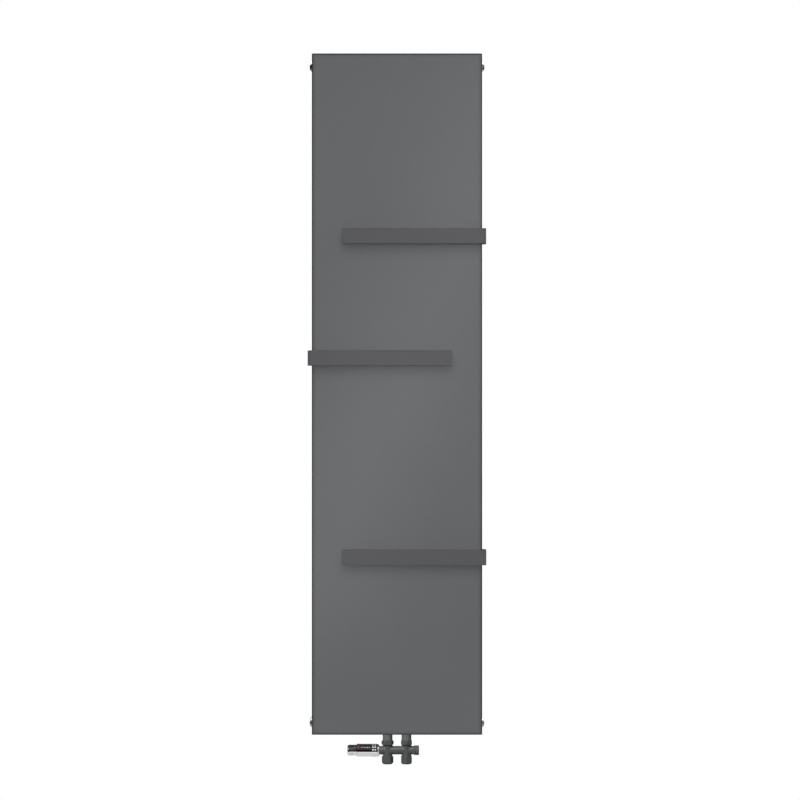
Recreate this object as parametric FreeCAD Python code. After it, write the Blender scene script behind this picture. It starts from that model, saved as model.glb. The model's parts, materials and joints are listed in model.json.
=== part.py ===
"""Vertical flat-front radiator with three towel rails and a 50 mm centre-connection thermostatic valve.

Frame: +X to the right, +Y into the wall, +Z up, millimetres. The wall is the plane Y = 0 and the radiator's
front faces -Y. The origin is the centre of the four wall screws, level with the middle of the front panel.
Each piece is written to parts/NODE.step.
"""

import FreeCAD, Part
import math
import os

Vector = FreeCAD.Vector

# ---- front panel: one folded steel tray, open at the back
PANEL_WIDTH = 450.0
PANEL_HEIGHT = 1800.0
PANEL_SHEET = 1.5
PANEL_LIP_DEPTH = 14.0
PANEL_EDGE_RADIUS = 1.6
PANEL_CORNER_RADIUS = 2.2

# ---- water side behind the panel
TUBE_COUNT = 6
TUBE_WIDTH = 60.0
TUBE_DEPTH = 11.0
TUBE_SIDE_MARGIN = 15.0          # outermost tube to the panel's side
TUBE_WALL = 1.5
TUBE_EDGE_RADIUS = 4.5
TUBE_END_OVERLAP = 15.0          # how far a tube runs past the header's axis
HEADER_SIZE = 35.0
HEADER_WALL = 2.0
HEADER_EDGE_RADIUS = 4.0
HEADER_INSET = 31.0              # header axis to the panel's top or bottom edge
PORT_SLOT_WIDTH = 30.0
PORT_SLOT_HEIGHT = 7.0
AXIS_TO_WALL = 55.0              # pipe axis to the wall

# ---- header ends and their G1/2 plugs
END_PLATE = 4.0
END_PLATE_INSET = 2.0            # outer face of the end plate to the panel's side
END_BOSS_RADIUS = 14.0
END_BOSS_LENGTH = 9.0
HALF_INCH_RADIUS = 10.4          # G1/2 male thread, drawn plain
THREAD_CLEARANCE = 0.1
PLUG_SHANK = 11.0
PLUG_FLANGE_RADIUS = 14.3
PLUG_FLANGE = 2.5
PLUG_CONE = 3.5
PLUG_NOSE = 1.3
PLUG_NOSE_RADIUS = 9.75
PLUG_HEX = 8.0
PLUG_HEX_DEPTH = 4.0
GASKET = 1.0
GASKET_MARGIN = 0.6              # flange's edge past the gasket

# ---- bleed valve in the top right plug
NOZZLE_RADIUS = 8.6
NOZZLE_DEPTH = 4.4
NOZZLE_BORE_RADIUS = 4.8
NOZZLE_OUTLET_RADIUS = 1.2
NOZZLE_CLEARANCE = 0.06
NOZZLE_PROUD = 0.6               # nozzle's face past the plug's
NOZZLE_FLOOR = 1.2
BLEED_SCREW_RADIUS = 4.5
BLEED_THREAD_RADIUS = 3.0
BLEED_SQUARE = 5.0
BLEED_HEAD = 1.4
BLEED_THREAD = 12.0
BLEED_TIP = 2.0
BLEED_TIP_RADIUS = 1.0

# ---- towel rails: flat steel strip, hooked round one side of the panel
RAIL_HEIGHT = 40.0
RAIL_STRIP = 3.0
RAIL_LENGTH = 380.0
RAIL_OVERHANG = 10.0             # outer face of the rail past the panel's side
RAIL_GAP = 40.0                  # towel gap, panel front to the rail's back
RAIL_BEND_RADIUS = 7.0
RAIL_EDGE_RADIUS = 0.8
RAIL_TIP_RADIUS = 4.0            # corners of the rail's free end
RAIL_TAB = 62.0                  # rear tab, from the rail's outer face inwards
RAIL_LEVELS = ((416.0, 1), (95.0, -1), (-430.0, 1))    # height of the rail's middle, side it hooks round
RAIL_NAMES = ("towel_rail_top", "towel_rail_middle", "towel_rail_bottom")
RAIL_PLATE = 3.0
RAIL_SCREW_RADIUS = 3.0
RAIL_SCREW_OFFSETS = (42.0, 20.0)    # from the panel's side
RAIL_SCREW_HEAD_RADIUS = 5.2
RAIL_SCREW_CROWN_RADIUS = 3.2
RAIL_SCREW_HEX_FLOOR = 1.2
RAIL_SCREW_END_GAP = 0.2
SCREW_HOLE_CLEARANCE = 0.3
RAIL_SCREW_HEAD = 3.2
RAIL_SCREW_HEX = 4.0

# ---- cross bars, hanging lugs and wall brackets
CROSS_BAR_HEIGHT = 40.0
CROSS_BAR = 3.0
CROSS_BAR_INSET = 150.0          # bar's middle to the panel's top or bottom edge
LUG_X = 150.0
LUG_SHEET = 3.0
LUG_HEIGHT = 44.0
LUG_FOOT = 26.0
HANG_BOLT_TO_WALL = 34.0
HANG_BOLT_RADIUS = 4.0
HANG_BOLT_CLEARANCE = 0.25
HANG_BOLT_HEX = 13.0
HANG_BOLT_HEAD = 5.3
HANG_NUT = 6.5
HANG_NUT_TURN = 12.0
HANG_BOLT_END = 2.5              # thread past the nut
LUG_TAIL = 14.0                  # lug plate past the bolt, towards the wall
BRACKET_SHEET = 3.0
BRACKET_HEIGHT = 70.0
BRACKET_FOOT = 44.0
BRACKET_FOOT_RADIUS = 4.0
BRACKET_ARM_CHAMFER = 12.0
BRACKET_ARM_REACH = 14.0         # arm past the bolt, away from the wall
WALL_HOLE_RADIUS = 4.5
WALL_HOLE_INSET = 22.0           # wall screw to the bracket's bend

# ---- connection sockets and valve block
PIPE_SPACING = 50.0
SOCKET_RADIUS = 13.0
SOCKET_DROP = 17.6               # socket's lower end below the panel's edge
SOCKET_WATERWAY_RADIUS = 8.0
SOCKET_THREAD_DEPTH = 16.0
VALVE_DROP = 44.0                # valve axis below the panel's edge
WATERWAY_RADIUS = 7.0
NIPPLE_SHANK = 14.0
NIPPLE_COLLAR_RADIUS = 12.3
NIPPLE_COLLAR = 2.5
NIPPLE_NECK_RADIUS = 10.0
O_RING_SETBACK = 3.0             # O-ring's middle to the nipple's end
O_RING_SECTION = 1.15            # radius of the seal's section
UNION_HEX = 29.0
UNION_ROUND_RADIUS = 16.1
UNION_HEIGHT = 11.6
UNION_LIP = 2.7
UNION_TO_SOCKET = 0.4
UNION_NECK_CLEARANCE = 0.2
UNION_TOP_CHAMFER = 1.2
UNION_FOOT_CHAMFER = 1.8
UNION_GASKET = 1.5
BODY_TUBE_RADIUS = 11.35
BODY_COLUMN_RADIUS = 12.1
PORT_THREAD_RADIUS = 12.7        # G3/4 male thread, drawn plain
PORT_UPPER_LENGTH = 7.0
PORT_LOWER_START = 13.0          # below the valve axis
PORT_LOWER_END = 26.0
BODY_LEFT_END = 22.0             # outside the left pipe line
BODY_RIGHT_END = 19.5            # outside the right pipe line
BODY_FILLET = 2.5
CHAMBER_RADIUS = 8.1
SEAT_OFFSET = 3.0                # seat's closing face, outside the pipe line
SEAT_THICKNESS = 4.0
SEAT_RADIUS = 5.0
INLET_RADIUS = 6.0
INLET_LENGTH = 9.0
CHANNEL_RADIUS = 3.5
CHANNEL_OFFSET = 5.5
CHAMBER_TO_PORT = 1.9
PIPE_RADIUS = 7.6                # socket for 15 mm pipe
PIPE_SOCKET_DEPTH = 12.0
LOWER_NUT_HEX = 28.0
LOWER_NUT_ROUND_RADIUS = 15.2
LOWER_NUT_TOP = 15.6             # below the valve axis
LOWER_NUT_HEIGHT = 20.8
LOWER_NUT_FLOOR = 4.3
LOWER_NUT_TOP_CHAMFER = 1.2
LOWER_NUT_FOOT = (1.6, 4.2)       # inset and height of the turned-down foot
NUT_CORNER_INSET = 0.6           # turned face inside the flats, at a nut's ends
CLAMP_RING_RADIUS = 10.4
CLAMP_RING_TAPER = 1.4
CLAMP_RING_GAP = 0.6             # nut's cone starts below the port's end
UNION_TURNS = (11.0, 30.0)       # how far each nut happens to be turned, in degrees
LOWER_NUT_TURNS = (3.0, 27.0)

# ---- thermostatic insert; from here on, lengths along the valve axis grow outwards from a pipe line
INSERT_SHANK_RADIUS = 8.0
INSERT_INNER_END = 12.0
INSERT_FLANGE_RADIUS = 10.5
HEAD_THREAD_RADIUS = 14.4        # M30 x 1.5 male thread, drawn plain
HEAD_THREAD_START = 22.6
HEAD_THREAD_END = 27.2
GLAND_RADIUS = 7.0
GLAND_END = 30.0
SPINDLE_RADIUS = 2.5
SPINDLE_SEAL_RADIUS = 1.0        # radius of the seal's section
SPINDLE_GROOVE_WIDTH = 2.2
RUNNING_CLEARANCE = 0.05
SPRING_CHAMBER_RADIUS = 6.0
SPRING_CHAMBER_END = 23.3
RETAINER = 1.5
RETAINER_CLEARANCE = 0.2
LIFT_AT_REST = 1.8               # valve disc off its seat in the stored pose
DISC_RADIUS = 6.5
DISC_RUBBER = 2.5
DISC_CARRIER = 1.5
SPINDLE_COLLAR_RADIUS = 5.0
SPINDLE_COLLAR = 1.5
SPINDLE_COLLAR_POSITION = 20.0
SPINDLE_TIP = 33.5
SPRING_WIRE = 0.4
SPRING_RADIUS = 4.1
SPRING_TURNS = 4

# ---- return (lockshield) insert and its cap
RETURN_FLANGE_END = 29.0
RETURN_FLANGE_RADIUS = 10.3
STEM_RADIUS = 5.0
STEM_INNER = 15.0
STEM_OUTER = 27.0
STEM_HEX = 5.0
STEM_HEX_DEPTH = 5.0
STEM_HEX_TURN = 10.0
STEM_SEAL_RADIUS = 1.0           # radius of the seal's section
STEM_SEAL_POSITION = 20.0
STEM_TANG = 4.0
STEM_TANG_LENGTH = 5.5
CONE_LIFT = 3.0
CONE_RADIUS = 6.5
CONE_THICKNESS = 4.4
CONE_HUB_RADIUS = 4.0
CONE_HUB_CLEARANCE = 0.5
CONE_HUB = 3.5
SLOT_CLEARANCE = 0.15
SLOT_END_CLEARANCE = 0.6
CAP_RADIUS = 12.7
CAP_END = 33.3
CAP_WALL = 2.2
CAP_START_GAP = 0.3
CAP_FLUTES = 30
CAP_FLUTE_RADIUS = 0.55
CAP_FLUTE_START = 2.2
CAP_FLUTE_END = 1.6
CAP_START_CHAMFER = 0.6
CAP_END_CHAMFER = 1.0

# ---- thermostat head
NUT_START = 22.0
NUT_TO_SLEEVE = 0.15             # clearance inside the sleeve
NUT_END = 30.0
NUT_LIP_RADIUS = 13.2
NUT_FLUTES = 36
NUT_FLUTE_RADIUS = 0.4
NUT_CHAMFER = 0.7
SLEEVE_RADIUS = 16.75
SLEEVE_WALL = 0.6
SLEEVE_START = 26.5
SLEEVE_END = 81.7
SLEEVE_END_WALL = 1.2
SLEEVE_START_CHAMFER = 0.25
SLEEVE_END_CHAMFER = 0.9
SLEEVE_MOUTH_CLEARANCE = 0.2
WINDOW_STARTS = (30.6, 36.8)
WINDOW_LENGTH = 4.0
WINDOW_HEIGHT = 3.9
WINDOW_COUNT = 14
WINDOW_TURN = -10.0
WINDOW_CORNER = 0.9
BASE_FLANGE = 1.4
BASE_NECK_RADIUS = 13.0
BASE_BODY_START = 30.2
BASE_STEP = 45.0
BASE_REAR_RADIUS = 15.2
BASE_MOUTH_RADIUS = 11.0
BASE_FLOOR_START = 32.0
BASE_FLOOR_END = 35.0
BASE_BORE_RADIUS = 11.2
BEARING_START = 63.5
BASE_FIT = 0.1                   # base flange inside the nut, and clip inside its groove
KNOB_RADIUS = 14.45
KNOB_START = 81.9
KNOB_END = 106.1
KNOB_STEM_RADIUS = 13.0
KNOB_STEM_START = 65.0
KNOB_BORE_RADIUS = 10.6
KNOB_END_WALL = 4.0
KNOB_NOSE_CHAMFER = 2.4
KNOB_GROOVE_OUTLINE = ((2.2, 0.0), (1.8, 0.5), (1.2, 0.5), (0.8, 0.2))    # before the nose, depth
KNOB_NOSE_OUTLINE = ((2.4, 0.5), (0.6, 1.9), (0.0, 3.4))    # from the end, depth
KNOB_REAR_CHAMFER = 0.4
KNOB_GRIP_INSET = 0.45
KNOB_GRIP_START = 7.6
KNOB_GRIP_END = 6.0
KNOB_GRIP_COUNT = 20
KNOB_GRIP_RADIUS = 0.9
CLIP_START = 71.0
CLIP = 1.2
CLIP_INNER_RADIUS = 12.1
CLIP_OUTER_RADIUS = 14.0
PLUNGER_RADIUS = 4.3
CLIP_CLEARANCE = 0.05
CLIP_MOUTH = 4.0
CAPSULE_START = 37.0
CAPSULE_END = 63.0
CAPSULE_RADIUS = 11.0
CAPSULE_RIB = 0.8
CAPSULE_RIBS = 4
CARRIER_START = 71.0
CARRIER_END = 81.0
CARRIER_RADIUS = 10.5
CARRIER_HOLE_RADIUS = 3.0
OVERTRAVEL_RADIUS = 7.2
OVERTRAVEL_WIRE = 0.8
OVERTRAVEL_TURNS = 3
MARK_THICKNESS = 0.8
MARK_START = 74.6
MARK_END = 80.4
MARK_ANGLES = ((24.0, 50.0), (54.0, 84.0))    # degrees above the front

# ---- places worked out from the sizes above
AXIS_Y = -AXIS_TO_WALL
TUBE_REAR_Y = AXIS_Y - HEADER_SIZE / 2
TUBE_FRONT_Y = TUBE_REAR_Y - TUBE_DEPTH
PANEL_FRONT_Y = TUBE_FRONT_Y - PANEL_SHEET
PANEL_HALF = PANEL_WIDTH / 2
PANEL_BOTTOM = -PANEL_HEIGHT / 2
HEADER_Z = PANEL_HEIGHT / 2 - HEADER_INSET
PLATE_OUTER_X = PANEL_HALF - END_PLATE_INSET
HEADER_HALF = PLATE_OUTER_X - END_PLATE
VALVE_Z = PANEL_BOTTOM - VALVE_DROP
LINE_X = PIPE_SPACING / 2
CROSS_BAR_LEVEL = PANEL_HEIGHT / 2 - CROSS_BAR_INSET
SOCKET_BOTTOM = PANEL_BOTTOM - SOCKET_DROP
BOLT_Y = -HANG_BOLT_TO_WALL
COLLAR_TOP = SOCKET_BOTTOM - UNION_TO_SOCKET - UNION_LIP
BODY_TOP = COLLAR_TOP - NIPPLE_COLLAR - UNION_GASKET
CARRIER_FACE = SEAT_OFFSET + RUNNING_CLEARANCE + LIFT_AT_REST + DISC_RUBBER
LIP_FACE = HEAD_THREAD_END + BASE_FLANGE
SLEEVE_BORE = SLEEVE_RADIUS - SLEEVE_WALL
NUT_RADIUS = SLEEVE_BORE - NUT_TO_SLEEVE
BASE_RADIUS = SLEEVE_BORE - RUNNING_CLEARANCE
TUBE_PITCH = (PANEL_WIDTH - 2 * TUBE_SIDE_MARGIN - TUBE_WIDTH) / (TUBE_COUNT - 1)
TUBE_CENTRES = [TUBE_PITCH * (i - (TUBE_COUNT - 1) / 2) for i in range(TUBE_COUNT)]


# ---- shape helpers
def box(x, y, z):
    """A box from three (low, high) pairs."""
    return Part.makeBox(x[1] - x[0], y[1] - y[0], z[1] - z[0], Vector(x[0], y[0], z[0]))


def rod_x(radius, x0, x1, z, y=AXIS_Y):
    """A cylinder along X."""
    return Part.makeCylinder(radius, x1 - x0, Vector(x0, y, z), Vector(1, 0, 0))


def rod_y(radius, y0, y1, x, z):
    """A cylinder along Y."""
    return Part.makeCylinder(radius, y1 - y0, Vector(x, y0, z), Vector(0, 1, 0))


def rod_z(radius, z0, z1, x, y=AXIS_Y):
    """A cylinder along Z."""
    return Part.makeCylinder(radius, z1 - z0, Vector(x, y, z0), Vector(0, 0, 1))


def cone_x(r0, r1, x0, x1, z):
    """A cone along X at the pipe axis, of radius r0 at x0 and r1 at x1."""
    return Part.makeCone(r0, r1, x1 - x0, Vector(x0, AXIS_Y, z), Vector(1, 0, 0))


def o_ring(ring_radius, section_radius, centre, axis):
    """A ring of round section about an axis."""
    return Part.makeTorus(ring_radius, section_radius, centre, axis)


def hexagon(across_flats, height, base, axis, turn=0.0):
    """A hexagonal prism from its base point along an axis, turned by some degrees."""
    corner = across_flats / math.sqrt(3)
    points = []
    for i in range(6):
        angle = math.radians(60 * i + turn)
        points.append(Vector(corner * math.cos(angle), corner * math.sin(angle), 0))
    prism = Part.Face(Part.makePolygon(points + points[:1])).extrude(Vector(0, 0, height))
    prism.Placement = FreeCAD.Placement(base, FreeCAD.Rotation(Vector(0, 0, 1), axis))
    return prism


def revolve_z(profile, x, y=AXIS_Y):
    """Turns a closed (radius, z) outline about the vertical line through x and y."""
    points = [Vector(x + r, y, z) for r, z in profile]
    face = Part.Face(Part.makePolygon(points + points[:1]))
    return face.revolve(Vector(x, y, 0), Vector(0, 0, 1), 360)


def out(distance, side=-1):
    """The x that lies a distance outside the left (-1) or right (1) pipe line."""
    return side * (LINE_X + distance)


def revolve_valve(profile, side=-1):
    """Turns a closed (distance outside the side's pipe line, radius) outline about the valve axis."""
    points = [Vector(out(distance, side), AXIS_Y, VALVE_Z + r) for distance, r in profile]
    face = Part.Face(Part.makePolygon(points + points[:1]))
    return face.revolve(Vector(0, AXIS_Y, VALVE_Z), Vector(1, 0, 0), 360)


def around_valve_axis(shape, degrees):
    """A copy of a shape turned about the valve axis."""
    turned = shape.copy()
    turned.rotate(Vector(0, AXIS_Y, VALVE_Z), Vector(1, 0, 0), degrees)
    return turned


def mirror_x(shape):
    """The shape's mirror image across the radiator's middle."""
    return shape.mirror(Vector(0, 0, 0), Vector(1, 0, 0))


def edges_along(shape, axis, test):
    """The straight edges parallel to an axis whose middle passes a test."""
    found = []
    for edge in shape.Edges:
        start, end = edge.Vertexes[0].Point, edge.Vertexes[-1].Point
        run = end.sub(start)
        if run.Length > 0 and abs(abs(run.normalize().dot(axis)) - 1) < 1e-6:
            if test(start.add(end).multiply(0.5)):
                found.append(edge)
    return found


def rounded_bar(x, y, z, radius, axis):
    """A box whose four edges along one axis are rounded."""
    bar = box(x, y, z)
    return bar.makeFillet(radius, edges_along(bar, axis, lambda middle: True))


def coil(ring_radius, wire_radius, far, near, turns):
    """A compression spring about the valve axis, between two distances outside the left pipe line."""
    x0, x1 = out(far), out(near)
    length = x1 - x0 - 2 * wire_radius
    pitch = length / turns
    slope = pitch / (2 * math.pi * ring_radius)
    section = Part.Wire(Part.makeCircle(wire_radius, Vector(ring_radius, 0, 0), Vector(0, 1, slope)))
    spring = Part.Wire(Part.makeHelix(pitch, length, ring_radius)).makePipeShell([section], True, True)
    turn = FreeCAD.Rotation(Vector(0, 0, 1), Vector(1, 0, 0))
    spring.Placement = FreeCAD.Placement(Vector(x0 + wire_radius, AXIS_Y, VALVE_Z), turn)
    return spring


def placed(side, shape):
    """A right-hand shape, mirrored when its side is the left (-1)."""
    return shape if side > 0 else mirror_x(shape)


def group(shapes):
    """Several separate solids written as one node."""
    return Part.makeCompound(shapes)


# ---- radiator
def front_panel():
    """The folded tray that faces the room, with rounded folds."""
    depth = (PANEL_FRONT_Y, PANEL_FRONT_Y + PANEL_LIP_DEPTH)
    outer = rounded_bar((-PANEL_HALF, PANEL_HALF), depth, (PANEL_BOTTOM, -PANEL_BOTTOM), PANEL_CORNER_RADIUS,
                        Vector(0, 1, 0))
    front = [edge for edge in outer.Edges
             if all(abs(v.Point.y - PANEL_FRONT_Y) < 1e-6 for v in edge.Vertexes)]
    outer = outer.makeFillet(PANEL_EDGE_RADIUS, front)
    inner = rounded_bar((-PANEL_HALF + PANEL_SHEET, PANEL_HALF - PANEL_SHEET),
                        (PANEL_FRONT_Y + PANEL_SHEET, depth[1] + 1),
                        (PANEL_BOTTOM + PANEL_SHEET, -PANEL_BOTTOM - PANEL_SHEET),
                        PANEL_CORNER_RADIUS - PANEL_SHEET, Vector(0, 1, 0))
    return outer.cut(inner)


def port_slot(centre, y, level):
    """The waterway between a tube and a header, cut through the walls that lie on y."""
    return box((centre - PORT_SLOT_WIDTH / 2, centre + PORT_SLOT_WIDTH / 2),
               (y - TUBE_WALL - 1, y + HEADER_WALL + 1),
               (level - PORT_SLOT_HEIGHT / 2, level + PORT_SLOT_HEIGHT / 2))


def water_tube(centre):
    """A flat vertical tube, closed at both ends, with a port into each header."""
    half = HEADER_Z + TUBE_END_OVERLAP
    outer = rounded_bar((centre - TUBE_WIDTH / 2, centre + TUBE_WIDTH / 2), (TUBE_FRONT_Y, TUBE_REAR_Y),
                        (-half, half), TUBE_EDGE_RADIUS, Vector(0, 0, 1))
    inner = rounded_bar((centre - TUBE_WIDTH / 2 + TUBE_WALL, centre + TUBE_WIDTH / 2 - TUBE_WALL),
                        (TUBE_FRONT_Y + TUBE_WALL, TUBE_REAR_Y - TUBE_WALL),
                        (-half + TUBE_WALL, half - TUBE_WALL), TUBE_EDGE_RADIUS - TUBE_WALL, Vector(0, 0, 1))
    tube = outer.cut(inner)
    for level in (HEADER_Z, -HEADER_Z):
        tube = tube.cut(port_slot(centre, TUBE_REAR_Y, level))
    return tube


def header_bore(x0, x1, level):
    """The hollow inside a header tube."""
    half = HEADER_SIZE / 2 - HEADER_WALL
    return rounded_bar((x0, x1), (AXIS_Y - half, AXIS_Y + half), (level - half, level + half),
                       HEADER_EDGE_RADIUS - HEADER_WALL, Vector(1, 0, 0))


def header(level):
    """A square header tube with a port for each water tube."""
    half = HEADER_SIZE / 2
    tube = rounded_bar((-HEADER_HALF, HEADER_HALF), (AXIS_Y - half, AXIS_Y + half),
                       (level - half, level + half), HEADER_EDGE_RADIUS, Vector(1, 0, 0))
    tube = tube.cut(header_bore(-HEADER_HALF, HEADER_HALF, level))
    for centre in TUBE_CENTRES:
        tube = tube.cut(port_slot(centre, TUBE_REAR_Y, level))
    return tube


def bottom_header():
    """The lower header, open below at both connections."""
    tube = header(-HEADER_Z)
    for x in (-LINE_X, LINE_X):
        tube = tube.cut(rod_z(SOCKET_WATERWAY_RADIUS, -HEADER_Z - HEADER_SIZE / 2 - 1, -HEADER_Z, x))
    return tube


def header_baffle():
    """The plate that parts the supply from the return inside the lower header."""
    return header_bore(-HEADER_WALL / 2, HEADER_WALL / 2, -HEADER_Z)


def header_end(side, level):
    """A welded end plate with a threaded boss inside the header."""
    half = HEADER_SIZE / 2
    plate = rounded_bar((HEADER_HALF, PLATE_OUTER_X), (AXIS_Y - half, AXIS_Y + half),
                        (level - half, level + half), HEADER_EDGE_RADIUS, Vector(1, 0, 0))
    plate = plate.fuse(rod_x(END_BOSS_RADIUS, HEADER_HALF - END_BOSS_LENGTH, HEADER_HALF, level))
    plate = plate.cut(rod_x(HALF_INCH_RADIUS + THREAD_CLEARANCE, HEADER_HALF - END_BOSS_LENGTH - 1,
                            PLATE_OUTER_X + 1, level)).removeSplitter()
    return placed(side, plate)


def plug_body(level):
    """A G1/2 plug's shank, flange and conical head, at the right-hand end of a header."""
    start = PLATE_OUTER_X + GASKET
    cone_start = start + PLUG_FLANGE
    nose_start = cone_start + PLUG_CONE
    plug = rod_x(HALF_INCH_RADIUS, start - PLUG_SHANK, start, level)
    plug = plug.fuse(rod_x(PLUG_FLANGE_RADIUS, start, cone_start, level))
    plug = plug.fuse(cone_x(PLUG_FLANGE_RADIUS, PLUG_NOSE_RADIUS, cone_start, nose_start, level))
    plug = plug.fuse(rod_x(PLUG_NOSE_RADIUS, nose_start, nose_start + PLUG_NOSE, level))
    return plug.removeSplitter()


def plug_face():
    """Where the outer face of a plug lies."""
    return PLATE_OUTER_X + GASKET + PLUG_FLANGE + PLUG_CONE + PLUG_NOSE


def blind_plug(side, level):
    """A plug that closes a header, with a hexagon socket."""
    socket = hexagon(PLUG_HEX, PLUG_HEX_DEPTH + 1, Vector(plug_face() - PLUG_HEX_DEPTH, AXIS_Y, level),
                     Vector(1, 0, 0))
    plug = plug_body(level).cut(socket)
    return placed(side, plug)


def plug_gasket(side, level):
    """The flat seal under a plug's flange."""
    ring = rod_x(PLUG_FLANGE_RADIUS - GASKET_MARGIN, PLATE_OUTER_X, PLATE_OUTER_X + GASKET, level)
    hole = rod_x(HALF_INCH_RADIUS + THREAD_CLEARANCE, PLATE_OUTER_X - 1, PLATE_OUTER_X + 2, level)
    ring = ring.cut(hole)
    return placed(side, ring)


def bleed_plug():
    """The top right plug, bored for the bleed screw and its turning nozzle."""
    face = plug_face()
    start = PLATE_OUTER_X + GASKET - PLUG_SHANK
    recess = rod_x(NOZZLE_RADIUS + NOZZLE_CLEARANCE, face - NOZZLE_DEPTH, face + 1, HEADER_Z)
    thread = rod_x(BLEED_THREAD_RADIUS + NOZZLE_CLEARANCE, start - 1, face, HEADER_Z)
    return plug_body(HEADER_Z).cut(recess).cut(thread)


def bleed_nozzle():
    """The ring that turns in the bleed plug and points the water away, with its side outlet."""
    face = plug_face()
    inner = face - NOZZLE_DEPTH + NOZZLE_CLEARANCE
    outlet_z = HEADER_Z - (NOZZLE_RADIUS + NOZZLE_BORE_RADIUS) / 2
    ring = rod_x(NOZZLE_RADIUS, inner, face + NOZZLE_PROUD, HEADER_Z)
    ring = ring.cut(rod_x(NOZZLE_BORE_RADIUS, inner - 1, face + 2, HEADER_Z))
    return ring.cut(rod_x(NOZZLE_OUTLET_RADIUS, inner + NOZZLE_FLOOR, face + 2, outlet_z))


def bleed_screw():
    """The bleed screw: square key end, round head and a thread with a conical tip."""
    face = plug_face()
    head = face - NOZZLE_DEPTH + NOZZLE_CLEARANCE
    thread_end = head - BLEED_THREAD
    half = BLEED_SQUARE / 2
    screw = rod_x(BLEED_SCREW_RADIUS, head, head + BLEED_HEAD, HEADER_Z)
    screw = screw.fuse(box((head + BLEED_HEAD, face), (AXIS_Y - half, AXIS_Y + half),
                           (HEADER_Z - half, HEADER_Z + half)))
    screw = screw.fuse(rod_x(BLEED_THREAD_RADIUS, thread_end, head, HEADER_Z))
    tip = cone_x(BLEED_TIP_RADIUS, BLEED_THREAD_RADIUS, thread_end - BLEED_TIP, thread_end, HEADER_Z)
    return screw.fuse(tip)


# ---- towel rails
def rail_rear_y():
    """The rear face of a rail's tab."""
    return TUBE_REAR_Y + RAIL_PLATE + RAIL_STRIP


def rail_outline(x, y, z, radius):
    """A block whose two right-hand corners are rounded, as the strip is bent."""
    block = box(x, y, z)
    middle_x = (x[0] + x[1]) / 2
    return block.makeFillet(radius, edges_along(block, Vector(0, 0, 1), lambda m: m.x > middle_x))


def is_front_border(edge, front_y, level):
    """Whether an edge borders the rail's long front face, top or bottom."""
    if edge.Length < RAIL_LENGTH / 2 or edge.Vertexes[0].Point.y > front_y + RAIL_STRIP / 2:
        return False
    return all(abs(abs(v.Point.z - level) - RAIL_HEIGHT / 2) < 1e-6 for v in edge.Vertexes)


def towel_rail(level, side):
    """A strip bent into a long hook: towel bar in front, leg round the side, tab behind the tubes."""
    outer_x = PANEL_HALF + RAIL_OVERHANG
    free_x = outer_x - RAIL_LENGTH
    front_y = PANEL_FRONT_Y - RAIL_GAP - RAIL_STRIP
    rear_y = rail_rear_y()
    height = (level - RAIL_HEIGHT / 2, level + RAIL_HEIGHT / 2)
    past = (height[0] - 1, height[1] + 1)
    rail = rail_outline((free_x, outer_x), (front_y, rear_y), height, RAIL_BEND_RADIUS)
    hollow = rail_outline((free_x - 1, outer_x - RAIL_STRIP), (front_y + RAIL_STRIP, rear_y - RAIL_STRIP),
                          past, RAIL_BEND_RADIUS - RAIL_STRIP)
    beyond_tab = box((free_x - 1, outer_x - RAIL_TAB), (rear_y - RAIL_STRIP - 1, rear_y + 1), past)
    rail = rail.cut(hollow).cut(beyond_tab)
    rail = rail.makeFillet(RAIL_TIP_RADIUS, edges_along(rail, Vector(0, 1, 0), lambda m: m.x < free_x + 1))
    rail = rail.makeFillet(RAIL_EDGE_RADIUS, [e for e in rail.Edges if is_front_border(e, front_y, level)])
    for offset in RAIL_SCREW_OFFSETS:
        rail = rail.cut(rod_y(RAIL_SCREW_RADIUS + SCREW_HOLE_CLEARANCE, rear_y - RAIL_STRIP - 1, rear_y + 1,
                              PANEL_HALF - offset, level))
    return placed(side, rail)


def rail_plate(level, side):
    """A tapped plate welded behind the outermost tube, for one rail."""
    centre = TUBE_CENTRES[-1]
    plate = box((centre - TUBE_WIDTH / 2, centre + TUBE_WIDTH / 2), (TUBE_REAR_Y, TUBE_REAR_Y + RAIL_PLATE),
                (level - RAIL_HEIGHT / 2, level + RAIL_HEIGHT / 2))
    for offset in RAIL_SCREW_OFFSETS:
        plate = plate.cut(rod_y(RAIL_SCREW_RADIUS + RUNNING_CLEARANCE, TUBE_REAR_Y - 1,
                                TUBE_REAR_Y + RAIL_PLATE + 1, PANEL_HALF - offset, level))
    return placed(side, plate)


def rail_screw(level, side, offset):
    """A button-head screw that clamps a rail's tab to its plate."""
    x = PANEL_HALF - offset
    seat = rail_rear_y()
    screw = Part.makeCone(RAIL_SCREW_HEAD_RADIUS, RAIL_SCREW_CROWN_RADIUS, RAIL_SCREW_HEAD,
                          Vector(x, seat, level), Vector(0, 1, 0))
    screw = screw.fuse(rod_y(RAIL_SCREW_RADIUS, TUBE_REAR_Y + RAIL_SCREW_END_GAP, seat, x, level))
    socket = hexagon(RAIL_SCREW_HEX, RAIL_SCREW_HEAD, Vector(x, seat + RAIL_SCREW_HEX_FLOOR, level),
                     Vector(0, 1, 0))
    return placed(side, screw.cut(socket))


# ---- hanging
def cross_bar(level):
    """A flat bar welded across the backs of all the tubes."""
    half = TUBE_CENTRES[-1] + TUBE_WIDTH / 2
    return box((-half, half), (TUBE_REAR_Y, TUBE_REAR_Y + CROSS_BAR),
               (level - CROSS_BAR_HEIGHT / 2, level + CROSS_BAR_HEIGHT / 2))


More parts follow.
